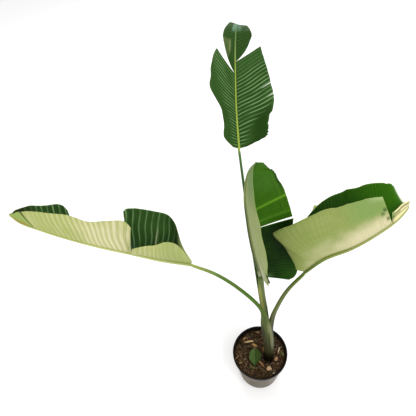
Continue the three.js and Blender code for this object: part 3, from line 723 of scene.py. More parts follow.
def blade_sheet(leaf, look):
    """The open sheet of a blade: points, quads and, for each point, its veins and its place."""
    points, faces, veins, places_of = [], [], [], []
    count, keel_length = 0, leaf["line"].length
    for hand, strips in ((1, leaf["right"]), (-1, leaf["left"])):
        start = 0
        for strip in strips:
            slits = strip["slits"]
            runs = [start, *[slit[0] for slit in slits], strip["to"]]
            for run, (low, high) in enumerate(zip(runs[:-1], runs[1:])):
                steps = max(3, math.ceil((high - low) * keel_length / look.vein_step))
                places = np.linspace(low, high, steps + 1)
                grid, along, down_keel, away, reaches, full = half_grid(
                    leaf, strip, places, hand, look
                )
                if run:
                    _, inner_end, gap = slits[run - 1]
                    opening = np.clip((reaches - inner_end) / (1 - inner_end), 0, None)
                    fall = np.clip(1 - (places - low) / SLIT_REACH, 0, 1) * gap
                    grid = grid + (fall[:, None] * opening)[..., None] * along[:, None]
                torn = np.full(len(places), UNTORN)
                if low == start and start > 0:
                    torn = np.minimum(torn, (places - low) * keel_length)
                if high == strip["to"] and high < 1:
                    torn = np.minimum(torn, (high - places) * keel_length)
                edge = np.minimum(full[:, None] - away, torn[:, None])
                fields = np.broadcast_arrays(
                    down_keel[:, None], away, float(hand), places[:, None], reaches, edge
                )
                points.append(grid.reshape(-1, 3))
                veins.append(np.stack(fields[:3], axis=-1).reshape(-1, 3))
                places_of.append(np.stack(fields[3:], axis=-1).reshape(-1, 3))
                faces += grid_faces(len(places), len(reaches), hand < 0, count)
                count += away.size
            start = strip["to"]
    return np.concatenate(points), faces, np.concatenate(veins), np.concatenate(places_of)


def make_blade(leaf, look):
    """A blade with its paint, from its sheet and a little thickness."""
    points, faces, veins, places = blade_sheet(leaf, look)
    t, w, hand = places[:, 0], places[:, 1], veins[:, 2]
    paint = np.stack(np.broadcast_arrays(*PAINTS[leaf["name"]](t, w, hand)), axis=-1)
    name = "sprout_blade" if leaf is SPROUT_LEAF else f"{leaf['name']}_leaf_blade"
    piece = mesh_piece(name, points, faces, {"vein": veins, "place": places, "paint": paint})
    for side in ("upper", "under"):
        # Each side's stain attribute holds its real stains and its painted light.
        stain_and_light = piece.data.attributes.new(f"{side}_stain", "FLOAT_COLOR", "POINT")
        colours = stains_and_light_over(leaf, side, t, w, hand)
        stain_and_light.data.foreach_set("color", colours.astype(np.float32).ravel())
    weld(piece)
    paint_with(piece, upper_finish(leaf), under_finish(leaf))
    apply_modifier(
        piece, "SOLIDIFY", thickness=look.blade_thickness * MM, offset=0, use_even_offset=False,
        material_offset=1, material_offset_rim=1,
    )
    return piece


def band(value, low, high, soft):
    """1 from low to high and 0 outside them, with a soft step at both."""
    return ease(value, low - soft, low + soft) * (1 - ease(value, high - soft, high + soft))


def stains_and_light_over(leaf, side, t, w, hand):
    """Colour and strength at each point of the stains and the painted light on one side of a blade.
    """
    over = np.zeros((len(t), 4))
    for (name, on_side, on_hand), stains_and_light in STAINS_AND_LIGHT.items():
        if (name, on_side) != (leaf["name"], side):
            continue
        for t_ends, w_ends, (soft_t, soft_w), colour, strength in stains_and_light:
            inside = band(t, *t_ends, soft_t) * band(w, *w_ends, soft_w)
            inside = inside * strength * (hand == on_hand)
            left_over = over[:, 3] * (1 - inside)
            total = np.maximum(left_over + inside, 1e-6)
            added = np.array(srgb(*colour)) * inside[:, None]
            over[:, :3] = (over[:, :3] * left_over[:, None] + added) / total[:, None]
            over[:, 3] = left_over + inside
    return over


# How the paint of each blade changes over it. Each function takes the share t of the
# midrib, the share w of the vein and the hand (1 right, -1 left), and gives: how plainly
# the veins show, how light the green is, and how far it is bleached.


def tall_paint(t, w, hand):
    right = hand > 0
    on_right = smooth([(0, 0.3), (0.1, 0.42), (0.16, 0.8), (0.2, 1.1)], t)
    on_left = smooth([(0, 0.5), (0.2, 0.55), (0.3, 0.75), (0.4, 1.1)], t)
    reach = np.where(right, on_right, on_left)
    veins = (1 - ease(w, reach - 0.25, reach + 0.1)) * np.where(right, 1.0, 0.85)
    veins = veins * (1 - np.where(right, 0.8, 0.45) * ease(t, 0.38, 0.46))
    shade = np.where(right, 0.46, 0.5) + 0.1 * ease(t, 0.3, 0.5)
    shade = shade - 0.34 * ease(w, 0.4, 0.7) * (1 - ease(t, 0.12, 0.2)) * right
    shade = shade + 0.4 * ease(w, 0.93, 0.99) * right * (1 - ease(t, 0.2, 0.3))
    tip = t > np.where(right, 0.517, 0.447)
    return np.where(tip, 0.12, veins), np.where(tip, 0.25, shade), 0 * t


def left_paint(t, w, hand):
    veins = 0.4 + 0.6 * ease(t, 0.3, 0.36) * (1 - ease(t, 0.65, 0.85))
    shade = 0.6 - 0.5 * (1 - ease(t, 0.05, 0.2)) - 0.2 * (1 - ease(w, 0.3, 0.8)) * (t < 0.4)
    bleach = ease(t, 0.28, 0.4) * (1 - 0.75 * ease(t, 0.5, 0.64)) * (1 - 0.5 * ease(w, 0.7, 1))
    return veins, shade, bleach


def right_paint(t, w, hand):
    veins = np.where(hand > 0, 0.22 + 0.5 * ease(t, 0.3, 0.7), 0.18 + 0.2 * ease(t, 0.4, 0.7))
    shade = 0.35 + 0.5 * ease(t, 0.3, 0.8)
    bleach = (1 - ease(w, 0.1, 0.75 - 0.2 * (1 - t))) * (0.35 + 0.65 * ease(t, 0.15, 0.6))
    return veins, shade, bleach


def middle_paint(t, w, hand):
    right = hand > 0
    veins = np.where(right, 0.28 - 0.12 * (t < 0.44), 0.3)
    shade = np.where(t < 0.44, 0.12 + 0.12 * ease(w, 0.7, 1), 0.75)
    band = np.exp(-(((t - 0.6) / 0.012) ** 2)) + 0.6 * np.exp(-(((t - 0.5) / 0.014) ** 2))
    shade = shade + 0.6 * band * right
    bleach = np.where(right, 0, 0.75 - 0.5 * ease(t, 0.6, 0.95))
    return veins, shade, bleach


def sprout_paint(t, w, hand):
    return 0.8 + 0 * t, np.where(hand > 0, 0.55, 0.5), 0 * t


PAINTS = {
    "tall": tall_paint, "left": left_paint, "right": right_paint, "middle": middle_paint,
    "sprout": sprout_paint,
}

# Stains and painted light by leaf, side and hand: shares of the midrib, shares of the vein,
# softness of both, colour and strength. A later one lies over the earlier ones.
STAINS_AND_LIGHT = {
    ("tall", "upper", -1): [
        ((0.47, 0.632), (0.42, 1.2), (0.015, 0.05), (84, 102, 54), 0.9),
        ((0.54, 0.632), (0.36, 0.47), (0.015, 0.04), (124, 136, 86), 0.75),
        # Painted highlight: a bluish reflection near the keel where the tip arches over.
        ((0.7, 0.775), (0.06, 0.36), (0.02, 0.12), (128, 168, 144), 0.6),
    ],
    ("tall", "upper", 1): [
        # Painted highlight: the same bluish reflection on the right half of the tip.
        ((0.7, 0.755), (0.08, 0.42), (0.02, 0.16), (116, 156, 128), 0.45),
        ((0.216, 0.2195), (0.84, 1.3), (0.0015, 0.03), (186, 206, 170), 0.8),
        ((0.2785, 0.282), (0.74, 1.3), (0.0015, 0.03), (196, 214, 182), 0.85),
    ],
    ("left", "under", -1): [
        ((0.857, 1.1), (-1, 2), (0.004, 0.1), (140, 166, 84), 0.85),
        ((0.88, 1.1), (-1, 0.3), (0.02, 0.2), (170, 118, 56), 0.75),
        ((0.85, 0.859), (0.1, 2), (0.003, 0.05), (30, 44, 12), 0.9),
        ((-1, 0.16), (-1, 2), (0.08, 0.1), (150, 164, 96), 0.6),
        ((0.58, 0.86), (-1, 2), (0.1, 0.1), (166, 178, 100), 0.45),
    ],
    ("left", "upper", 1): [
        ((0.84, 1.1), (-1, 2), (0.05, 0.1), (26, 22, 8), 0.8),
        ((-1, 0.12), (-1, 2), (0.06, 0.1), (20, 44, 6), 0.7),
        ((-1, 0.09), (0.2, 2), (0.02, 0.1), (150, 166, 100), 0.85),
        ((0.055, 0.11), (0.5, 0.75), (0.012, 0.12), (18, 30, 6), 0.9),
        ((0.31, 0.36), (-1, 0.25), (0.02, 0.12), (48, 72, 66), 0.5),
        ((0.206, 0.212), (0.25, 0.6), (0.002, 0.15), (176, 184, 140), 0.6),
    ],
    ("right", "under", 1): [
        ((0.5, 0.8), (0.5, 2), (0.1, 0.12), (116, 148, 80), 0.7),
        ((0.66, 0.8), (0.9, 2), (0.05, 0.08), (190, 204, 160), 0.35),
        ((0.688, 0.712), (0.42, 0.52), (0.004, 0.03), (70, 96, 48), 0.7),
        ((0.71, 0.74), (0.52, 0.63), (0.004, 0.03), (60, 84, 40), 0.8),
        ((0.712, 0.74), (0.2, 0.32), (0.004, 0.03), (84, 96, 44), 0.8),
        ((0.752, 1.1), (-1, 2), (0.004, 0.1), (220, 214, 160), 0.95),
        ((0.75, 0.92), (0.7, 0.84), (0.008, 0.035), (92, 80, 36), 0.85),
        ((0.74, 0.94), (0.42, 0.52), (0.008, 0.03), (128, 112, 62), 0.75),
        ((0.735, 0.8), (0.55, 0.66), (0.008, 0.03), (48, 72, 20), 0.7),
        ((-1, 0.4), (-1, 0.036), (0.08, 0.01), (128, 140, 62), 0.85),
    ],
    ("right", "upper", -1): [
        # The curled end: pale like the underside, and lighter still as a painted highlight.
        ((0.882, 1.1), (0.08, 2), (0.012, 0.1), (222, 232, 196), 0.95),
        ((-1, 0.22), (-1, 2), (0.1, 0.1), (16, 44, 4), 0.6),
        ((0.19, 0.23), (1, 2), (0.01, 0.03), (104, 104, 52), 0.85),
    ],
    ("middle", "upper", 1): [
        ((0.66, 1.1), (0.93, 2), (0.05, 0.02), (18, 48, 4), 0.7),
        ((0.5, 0.86), (0.79, 0.83), (0.04, 0.012), (30, 68, 10), 0.3),
        ((0.5, 0.86), (0.86, 0.88), (0.04, 0.012), (96, 116, 40), 0.12),
        ((0.587, 0.6), (-1, 2), (0.008, 0.1), (104, 158, 34), 0.85),
        ((0.487, 0.5), (0.2, 2), (0.008, 0.1), (84, 130, 34), 0.6),
        ((-1, 0.1), (0.6, 2), (0.08, 0.2), (40, 84, 16), 0.5),
        ((-1, 0.03), (0, 0.3), (0.015, 0.12), (84, 120, 70), 0.45),
    ],
    ("middle", "under", -1): [
        ((0.72, 1.1), (0.45, 2), (0.08, 0.12), (104, 136, 82), 0.5),
        ((-1, 0.16), (0.1, 0.6), (0.06, 0.15), (200, 202, 178), 0.55),
        ((0.05, 0.16), (0.86, 2), (0.012, 0.03), (34, 44, 16), 0.95),
    ],
    ("sprout", "upper", -1): [
        ((-1, 2), (-1, 2), (0.1, 0.1), (78, 104, 50), 0.5),
    ],
    ("sprout", "upper", 1): [
        ((-1, 2), (0.5, 2), (0.1, 0.2), (30, 50, 16), 0.5),
    ],
}

# For each leaf: the dark and light colours of its upper side and its vein colour, a painted
# highlight on each side vein's lit swell; the base and bleached colours of its underside and its
# vein colour, a painted highlight on the ridges and also the fine lines between them; and the
# colours of its midrib, the midrib's tip and the worn margin.
TINTS = "dark light vein under under_bleached under_vein rib rib_tip margin".split()
BLADE_COLOURS = {
    "tall": [
        (33, 63, 15), (64, 100, 46), (132, 168, 112), (104, 124, 72), (150, 162, 110),
        (130, 148, 96), (172, 190, 82), (100, 130, 80), (62, 84, 32),
    ],
    "left": [
        (16, 44, 5), (48, 82, 29), (121, 156, 101), (164, 172, 98), (206, 202, 154),
        (224, 218, 176), (206, 208, 140), (180, 186, 100), (150, 166, 86),
    ],
    "right": [
        (15, 47, 1), (45, 98, 3), (68, 110, 15), (131, 146, 75), (212, 203, 166), (166, 168, 113),
        (140, 150, 60), (200, 196, 130), (190, 202, 118),
    ],
    "middle": [
        (8, 36, 1), (55, 102, 10), (76, 124, 26), (112, 139, 73), (160, 169, 109), (151, 164, 103),
        (150, 160, 80), (130, 150, 80), (110, 140, 50),
    ],
    "sprout": [
        (22, 36, 6), (62, 80, 28), (78, 98, 42), (90, 118, 60), (130, 150, 90), (110, 136, 80),
        (98, 138, 78), (84, 124, 66), (40, 62, 20),
    ],
}

# For each leaf: from where up a side vein's swell takes the painted highlight on the upper side,
# how strong the painted shade is in the grooves between side veins on the underside, and how
# plainly pale streaks run along it.
VEIN_LIGHT = {
    "tall": (0.76, 0.22, 0.1), "left": (0.8, 0.6, 0.12), "right": (0.6, 0.22, 0.08),
    "middle": (0.6, 0.22, 0.35), "sprout": (0.6, 0.22, 0),
}


def blade_colours(leaf):
    return dict(zip(TINTS, [srgb(*colour) for colour in BLADE_COLOURS[leaf["name"]]]))


def vein_pattern(finish, leaf):
    """Side veins, the light that each one holds, and the fine nerves between them."""
    keel, away, hand = finish.attribute("vein")
    lane = ridge_lane(keel, away, hand, leaf)
    ridge = (lane * (2 * math.pi)).sine() * 0.5 + 0.5
    drawn_out = finish.point(lane * 0.9, away / 70, hand * 5)
    strength = finish.noise(drawn_out, 1, 1).span(0.28, 0.6, 0.25, 1)
    nerves = finish.noise(finish.point(keel / 0.9, away / 24, hand * 9), 1, 2)
    patches = finish.noise(finish.point(keel / 34, away / 30, hand * 13), 1, 3)
    return keel, away, hand, ridge, strength, nerves, patches


def ridge_lane(keel, away, hand, leaf):
    """Counts side veins along the keel; whole numbers lie midway between two of them."""
    right, left = [1 / spacing for spacing in leaf["vein_spacing"]]
    per_lane = hand * ((right - left) / 2) + (right + left) / 2
    return keel * per_lane + (away / SWAY_UP + keel / SWAY_ALONG).sine() * VEIN_SWAY


def upper_finish(leaf):
    colours, rib_radius = blade_colours(leaf), leaf["rib_radius"]
    lit_from = VEIN_LIGHT[leaf["name"]][0]
    finish = Finish(f"{leaf['name']} leaf upper side", specular_ior_level=0.07)
    _, away, _, ridge, strength, nerves, patches = vein_pattern(finish, leaf)
    t, _, edge = finish.attribute("place")
    show, shade, _ = finish.attribute("paint")
    # The ridge term paints light and shade across each side vein's swell.
    lightness = shade + (nerves - 0.5) * 0.3 + (patches - 0.5) * 0.35 + (ridge - 0.5) * show * 0.22
    on_rib = (away + t * (0.9 * rib_radius)).span(0.9 * rib_radius, 1.3 * rib_radius, 1, 0)
    green = finish.coats(
        colours["dark"],
        (lightness.span(0, 1), colours["light"]),
        # Painted highlight on the lit swell of each side vein, in the vein colour.
        (ridge.span(lit_from, 1) * strength * show * 0.95, colours["vein"]),
        (away.span(2, 10, 0.6, 0), colours["dark"]),
        (on_rib, finish.mix(t.span(0.4, 0.7), colours["rib"], colours["rib_tip"])),
        finish.stains_and_light("upper_stain", patches),
        (edge.span(0, 1.6, 0.85, 0), colours["margin"]),
    )
    relief = ridge * 0.35 + nerves * 0.3 + patches * 0.25
    return finish.set(
        base_color=green, roughness=0.36 + patches * 0.16 + nerves * 0.06,
        normal=finish.bump(relief, 0.0007, 0.5),
    )


def under_finish(leaf):
    colours = blade_colours(leaf)
    _, groove_dim, streak = VEIN_LIGHT[leaf["name"]]
    finish = Finish(f"{leaf['name']} leaf underside", specular_ior_level=0.06)
    keel, away, hand, ridge, strength, nerves, patches = vein_pattern(finish, leaf)
    edge = finish.attribute("place")[2]
    show, _, bleach = finish.attribute("paint")
    pale = (bleach + (patches - 0.5) * 0.5 + (nerves - 0.5) * 0.25).span(0, 1)
    # Painted shade in the grooves between side veins, with uneven fine nerves.
    dim = (1 - ridge).span(0.4, 1) * show * groove_dim + (0.5 - nerves) * 0.3
    between = (ridge_lane(keel, away, hand, leaf) * (6 * math.pi)).sine()
    streaks = finish.noise(finish.point(keel / 70, away / 2.6, hand * 3), 1, 2)
    green = finish.coats(
        colours["under"],
        (pale, colours["under_bleached"]),
        # Painted highlight on each side vein's ridge.
        (ridge.span(0.3, 0.9) * strength * show * 0.7, colours["under_vein"]),
        # Painted shade in the grooves.
        (dim, colours["under"]),
        (away.span(1.5, 7, 0.6, 0), colours["rib"]),
        ((between * patches).span(0.1, 0.6, 0, 0.3), colours["under_vein"]),
        (streaks.span(0.5, 0.7, 0, streak), srgb(196, 198, 160)),
        finish.stains_and_light("under_stain", patches),
        (edge.span(0, 1.4, 0.6, 0), colours["margin"]),
    )
    return finish.set(
        base_color=green, roughness=0.5 + patches * 0.15,
        normal=finish.bump(ridge * 0.4 + nerves * 0.35, 0.0006, 0.5),
    )


# ------------------------------------------------------------------ leaf stalks


def rod_rings(leaf, swell=0, fused=False):
    """Rings of points round a stalk and its midrib, with each ring's centre and directions.

    A fused one lies half inside its blade, and any other one just under it.
    """
    line, stalk = leaf["line"], LeafLine(leaf["stalk"])
    shares = np.arange(STALK_STEPS) / STALK_STEPS
    start = np.zeros(1)
    blade_up = line.frame(start, mixed(leaf["facing"], start))[2][0]
    facing = [(0, *leaf["base_facing"]), (STALK_TURNED_BY, *blade_up)]
    origin, along, up, side = stalk.frame(shares, mixed(facing, shares))
    girth = np.array(leaf["girth"], float)
    width = smooth(girth[:, [0, 1]], shares)
    depth = smooth(girth[:, [0, 2]], shares)
    places = np.linspace(0, 1, RIB_STEPS + 1)
    rib = RIB_TIP_RADIUS + (leaf["rib_radius"] - RIB_TIP_RADIUS) * (1 - places) ** RIB_TAPER
    rib_frame = line.frame(places, mixed(leaf["facing"], places))
    drop = 0.5 if fused else 1
    touch = 0 if fused else RIB_TOUCH
    settled = ease(shares, 0, 1)
    fall = np.concatenate([(touch + drop * depth) * settled, touch + drop * rib])
    origin, along, up, side = [
        np.concatenate(both) for both in zip((origin, along, up, side), rib_frame)
    ]
    width, depth = [np.concatenate([half, rib]) + swell for half in (width, depth)]
    centre = origin - fall[:, None] * up
    angle = np.arange(STALK_SIDES) * 2 * np.pi / STALK_SIDES
    ring = (
        centre[:, None] + (width[:, None] * np.cos(angle))[..., None] * side[:, None]
        + (depth[:, None] * np.sin(angle))[..., None] * up[:, None]
    )
    reach = np.concatenate([shares, 1 + places])
    return ring, centre, up, side, reach


def rod_piece(name, leaf, swell=0, fused=False):
    """A stalk with its midrib, closed at both ends."""
    ring, centre, *_ = rod_rings(leaf, swell, fused)
    closed = np.concatenate([ring, ring[:, :1]], axis=1).reshape(-1, 3)
    faces = grid_faces(len(ring), STALK_SIDES + 1, True)
    root, tip = len(closed), len(closed) + 1
    last = root - (STALK_SIDES + 1)
    for k in range(STALK_SIDES):
        faces += [(root, k + 1, k), (tip, last + k, last + k + 1)]
    piece = mesh_piece(name, np.concatenate([closed, centre[[0, -1]]]), faces)
    weld(piece)
    return piece


def mark_rod(piece, leaf, fused=False):
    """Keeps on each point its share of the stalk, 1 to 2 along the midrib, and its angle."""
    _, centre, up, side, reach = rod_rings(leaf, 0, fused)
    co = np.empty(len(piece.data.vertices) * 3)
    piece.data.vertices.foreach_get("co", co)
    co = co.reshape(-1, 3) / MM
    near = np.array([np.argmin(((centre - point) ** 2).sum(-1)) for point in co])
    away = co - centre[near]
    turn = np.stack([(away * side[near]).sum(-1), (away * up[near]).sum(-1)], axis=-1)
    turn = turn / np.maximum(np.linalg.norm(turn, axis=-1, keepdims=True), 1e-6)
    values = np.column_stack([reach[near], turn])
    layer = piece.data.attributes.new("stalk", "FLOAT_VECTOR", "POINT")
    layer.data.foreach_set("vector", values.astype(np.float32).ravel())


# Colours along each stalk: share (0 at the soil, 1 at the blade, 2 at the tip) and colour.
STALK_COLOURS = {
    "tall": [
        (0, (14, 12, 4)), (0.12, (36, 38, 14)), (0.4, (62, 86, 30)), (0.56, (44, 72, 16)),
        (0.66, (50, 80, 24)), (0.9, (72, 106, 56)), (0.985, (78, 114, 62)), (1, (168, 186, 84)),
        (1.4, (144, 166, 72)), (1.7, (110, 138, 78)), (2, (104, 130, 82)),
    ],
    "middle": [
        (0, (14, 12, 4)), (0.2, (52, 52, 24)), (0.5, (104, 108, 56)), (0.7, (138, 138, 76)),
        (0.8, (140, 136, 66)), (0.9, (144, 148, 76)), (0.95, (112, 124, 62)),
        (0.98, (96, 112, 64)), (1, (66, 84, 42)), (1.02, (172, 178, 138)), (1.3, (164, 172, 122)),
        (2, (126, 146, 88)),
    ],
    "right": [
        (0, (12, 10, 3)), (0.15, (26, 28, 10)), (0.3, (46, 52, 22)), (0.42, (78, 88, 50)),
        (0.55, (92, 100, 60)), (0.75, (106, 114, 66)), (0.95, (92, 112, 42)),
        (1.1, (108, 126, 50)), (1.5, (150, 158, 88)), (2, (186, 188, 124)),
    ],
    "left": [
        (0, (10, 8, 2)), (0.11, (9, 7, 2)), (0.15, (20, 18, 5)), (0.2, (46, 46, 19)),
        (0.26, (48, 50, 18)), (0.34, (56, 62, 24)), (0.4, (68, 78, 36)), (0.46, (74, 84, 38)),
        (0.52, (74, 88, 36)), (0.58, (74, 96, 36)), (0.68, (76, 108, 36)), (0.86, (86, 116, 42)),
        (0.98, (150, 164, 84)), (1.15, (196, 202, 134)), (2, (184, 188, 108)),
    ],
    "sprout": [(0, (44, 60, 22)), (0.5, (54, 80, 34)), (2, (60, 92, 42))],
}

# How far a point on a stalk lies to the right: shares of its two angle values.
STALK_RIGHT = {
    "tall": (1, 0), "middle": (0.75, 0.65), "right": (-0.6, -0.8), "left": (-1, 0),
    "sprout": (1, 0),
}

# Long marks on the stalks: colour, strength, where it comes in and goes out along the stalk,
# and from how far to the right (1) or left (-1) it comes in. Each edge is soft.
STALK_MARKS = {
    "left": [
        ((42, 33, 9), 0.8, (0.17, 0.24), (0.5, 0.42), (-0.25, -0.75)),
        ((126, 128, 90), 0.85, (0.2, 0.3), (0.5, 0.44), (0.8, 0.96)),
        ((122, 126, 82), 0.5, (0.38, 0.43), (0.52, 0.46), (0.3, 0.7)),
    ],
    "middle": [
        ((92, 106, 64), 0.9, (0.3, 0.5), (0.98, 0.95), (-0.3, 0.1)),
        ((48, 54, 24), 0.85, (0.6, 0.7), (0.86, 0.76), (0.3, 0.75)),
        ((60, 80, 32), 0.9, (1.03, 1.08), (1.75, 1.6), (0.3, -0.2)),
    ],
    "right": [
        ((74, 94, 32), 0.75, (0.66, 0.76), (1.06, 1), (-0.35, -0.8)),
        ((66, 80, 34), 0.7, (0.6, 0.7), (1.06, 1), (0.4, 0.85)),
        ((38, 42, 18), 0.9, (0.3, 0.4), (0.68, 0.58), (0.1, 0.5)),
    ],
    "tall": [
        ((86, 104, 50), 0.7, (0.4, 0.5), (1, 0.9), (0.4, 0.85)),
    ],
}


def stalk_finish(leaf):
    name = leaf["name"]
    finish = Finish(f"{name} leaf stalk", specular_ior_level=0.08)
    share, across, out = finish.attribute("stalk")
    green = finish.ramp(share * 0.5, [(place / 2, colour) for place, colour in STALK_COLOURS[name]])
    fibres = finish.noise(finish.point(share * 4, across * 7, out * 7), 1, 3)
    blotches = finish.noise(finish.point(share * 14, across * 2, out * 2), 1, 2)
    fine = finish.noise(finish.point(share * 12, across * 30, out * 30), 1, 1)
    by_across, by_out = STALK_RIGHT[name]
    rightness = across * by_across + out * by_out + (fibres - 0.5) * 0.4
    for colour, strength, fade_in, fade_out, side in STALK_MARKS.get(name, []):
        mark = share.span(*fade_in) * share.span(*fade_out) * rightness.span(*side)
        green = finish.mix(mark * strength, green, srgb(*colour))
    sheath = share.span(0.16, 0.3) * share.span(0.62, 0.5)
    green = finish.coats(
        green,
        (fibres.span(0.54, 0.68, 0, 0.3) * sheath, srgb(134, 136, 92)),
        (fibres.span(0.48, 0.32, 0, 0.45), srgb(34, 38, 14)),
    )
    return finish.set(
        base_color=green, roughness=0.42 + blotches * 0.18,
        normal=finish.bump(fibres * 0.6 + fine * 0.4, 0.0006, 0.5),
    )


# ------------------------------------------------------------------ soil, chips and pot


def pot_outer_radius(height):
    """Of the wall, up to the neck under the rim."""
    return POT_BASE_RADIUS + (NECK_RADIUS - POT_BASE_RADIUS) * height / NECK_HEIGHT


def pot_inner_radius(height):
    return pot_outer_radius(height) - POT_WALL


def soil_height(x, y):
    """The heaps on the soil's top, without its grain."""
    swells = np.sin(x / 11 + 0.8 * np.sin(y / 14)) * np.cos(y / 10)
    crumbs = np.sin(x / 4.3 + y / 6.1) * np.sin(y / 5.2 - x / 7.7)
    return SOIL_LEVEL + SOIL_BUMP * (swells + 0.7 * crumbs)


def make_soil(look):
    """A closed body of soil whose top is heaped and crumbled."""
    rng = np.random.default_rng(look.seed)
    around = look.soil_rings * 4
    top_radius = pot_inner_radius(SOIL_LEVEL) - SOIL_PLAY
    radius = top_radius * np.linspace(0.004, 1, look.soil_rings)
    angle = np.arange(around) * 2 * np.pi / around
    x, y = radius[:, None] * np.cos(angle), radius[:, None] * np.sin(angle)
    # Three sizes of lumps, each the sum of six waves that bend one another.
    grains = np.zeros_like(x)
    for scale, depth in ((5.5, 1.3), (2.6, 0.9), (1.3, 0.5)):
        for a, b, c in rng.uniform(0, 2 * np.pi, (6, 3)):
            across = np.sin((x * np.sin(c) - y * np.cos(c)) / scale * 0.7)
            along = x / scale * np.cos(a) + y / scale * np.sin(a)
            grains += depth / 3 * np.sin(along + b + across)
    near_wall = np.minimum(1, (top_radius - radius)[:, None] / 6)
    height = soil_height(x, y) + grains * near_wall - 1
    height[-1] = SOIL_LEVEL
    bottom = POT_FLOOR + SOIL_PLAY
    foot = (pot_inner_radius(bottom) - SOIL_PLAY) / top_radius
    base_ring = np.stack([x[-1] * foot, y[-1] * foot, np.full(around, bottom)], axis=-1)
    rings = np.concatenate([np.stack([x, y, height], axis=-1), base_ring[None]])
    closed = np.concatenate([rings, rings[:, :1]], axis=1).reshape(-1, 3)
    faces = grid_faces(len(rings), around + 1, True)
    top, base = len(closed), len(closed) + 1
    last = top - (around + 1)
    for k in range(around):
        faces += [(top, k, k + 1), (base, last + k + 1, last + k)]
    middles = [(0, 0, height[0].mean()), (0, 0, bottom)]
    piece = mesh_piece("soil_body", np.concatenate([closed, middles]), faces)
    weld(piece)
    return piece


def soil_finish(look):
    finish = Finish("potting soil", specular_ior_level=0.1)
    place = finish.object_place()
    x, y, _ = finish.axes(place)
    crumbs = finish.noise(place, 260, 4, 0.65)
    clods = finish.noise(place, 70, 3, 0.6)
    fibres = finish.noise(finish.stretched(place, (1, 3.2, 1)), 190, 3, 0.6)
    specks = finish.noise(place, 420, 2, 0.5)
    brown = finish.coats(
        look.soil_dark,
        (crumbs.span(0.32, 0.68), look.soil_light),
        (clods.span(0.45, 0.75, 0, 0.5), srgb(24, 15, 5)),
        (fibres.span(0.6, 0.72, 0, 0.7), srgb(136, 100, 66)),
        (specks.span(0.64, 0.7, 0, 0.8), srgb(168, 138, 100)),
    )
    # Painted shadow: the soil goes near black round the stems' base and beside the sprout.
    for (shadow_x, shadow_y), reach in SHADOW_SPOTS:
        away = ((x - shadow_x * MM) ** 2 + (y - shadow_y * MM) ** 2) ** 0.5 + (clods - 0.5) * 0.02
        damp_and_shadow = away.span(reach * MM, reach * 0.55 * MM, 0, 0.85)
        brown = finish.mix(damp_and_shadow, brown, srgb(14, 9, 2))
    # Painted shade: the soil darkens towards the pot wall.
    edge = (x * x + y * y) ** 0.5 + (clods - 0.5) * 0.01
    brown = finish.mix(edge.span(0.088, 0.096, 0, 0.7), brown, srgb(16, 11, 5))
    return finish.set(
        base_color=brown, roughness=0.85 + crumbs * 0.1,
        normal=finish.bump(crumbs * 0.6 + fibres * 0.4, 0.002, 0.8),
    )


def split_chip():
    """The form that each bark chip starts from, made as by hand from a cube."""
    bpy.ops.object.select_all(action="DESELECT")
    bpy.ops.mesh.primitive_cube_add(size=1)
    bpy.ops.object.mode_set(mode="EDIT")
    bpy.ops.mesh.select_all(action="SELECT")
    bpy.ops.mesh.subdivide(number_cuts=2)
    bpy.ops.object.mode_set(mode="OBJECT")
    return shape_of(bpy.context.object)


def scatter(name, prototypes, spots):
    """One piece of many small copies: spots holds (place, size, turn, colour) for each."""
    points, faces, tints = [], [], []
    count = 0
    for index, (place, size, turn, colour) in enumerate(spots):
        shape, around = prototypes[index % len(prototypes)]
        moved = (shape * size) @ np.array(Euler(turn).to_matrix()).T + place
        points.append(moved)
        faces += [tuple(corner + count for corner in face) for face in around]
        tints.append(np.broadcast_to(colour, moved.shape))
        count += len(moved)
    return mesh_piece(name, np.concatenate(points), faces, {"tint": np.concatenate(tints)}, False)


def shape_of(piece):
    """The points and faces of a piece, which is then removed."""
    points = np.array([vertex.co[:] for vertex in piece.data.vertices])
    faces = [tuple(polygon.vertices) for polygon in piece.data.polygons]
    bpy.data.objects.remove(piece)
    return points, faces


def tinted_finish(name, roughness, grain):
    """Takes each copy's own tint, with a little grain over it."""
    finish = Finish(name, specular_ior_level=0.1)
    tint = finish.node("Attribute", attribute_name="tint").outputs["Color"]
    specks = finish.noise(finish.object_place(), grain, 3, 0.6)
    colour = finish.mix(specks.span(0.62, 0.3, 0, 0.5), tint, srgb(50, 32, 18), "MULTIPLY")
    return finish.set(
        base_color=colour, roughness=roughness, normal=finish.bump(specks, 0.0008, 0.6)
    )


def mixed_tone(rng, dry, damp_and_shadow):
    """A colour between dry and damp, mostly near the damp one."""
    return np.array(damp_and_shadow) + (np.array(dry) - np.array(damp_and_shadow)) * rng.uniform() ** 2


def soil_spot(rng, edge=6):
    """A place on the soil, clear of the stems and of the pot's edge."""
    reach = pot_inner_radius(SOIL_LEVEL) - edge
    while True:
        radius, angle = reach * math.sqrt(rng.uniform()), rng.uniform(0, 2 * math.pi)
        x, y = radius * math.cos(angle), radius * math.sin(angle)
        if math.hypot(x - STEM_CENTRE[0], y - STEM_CENTRE[1]) > STEM_KEEP_OUT:
            return x, y


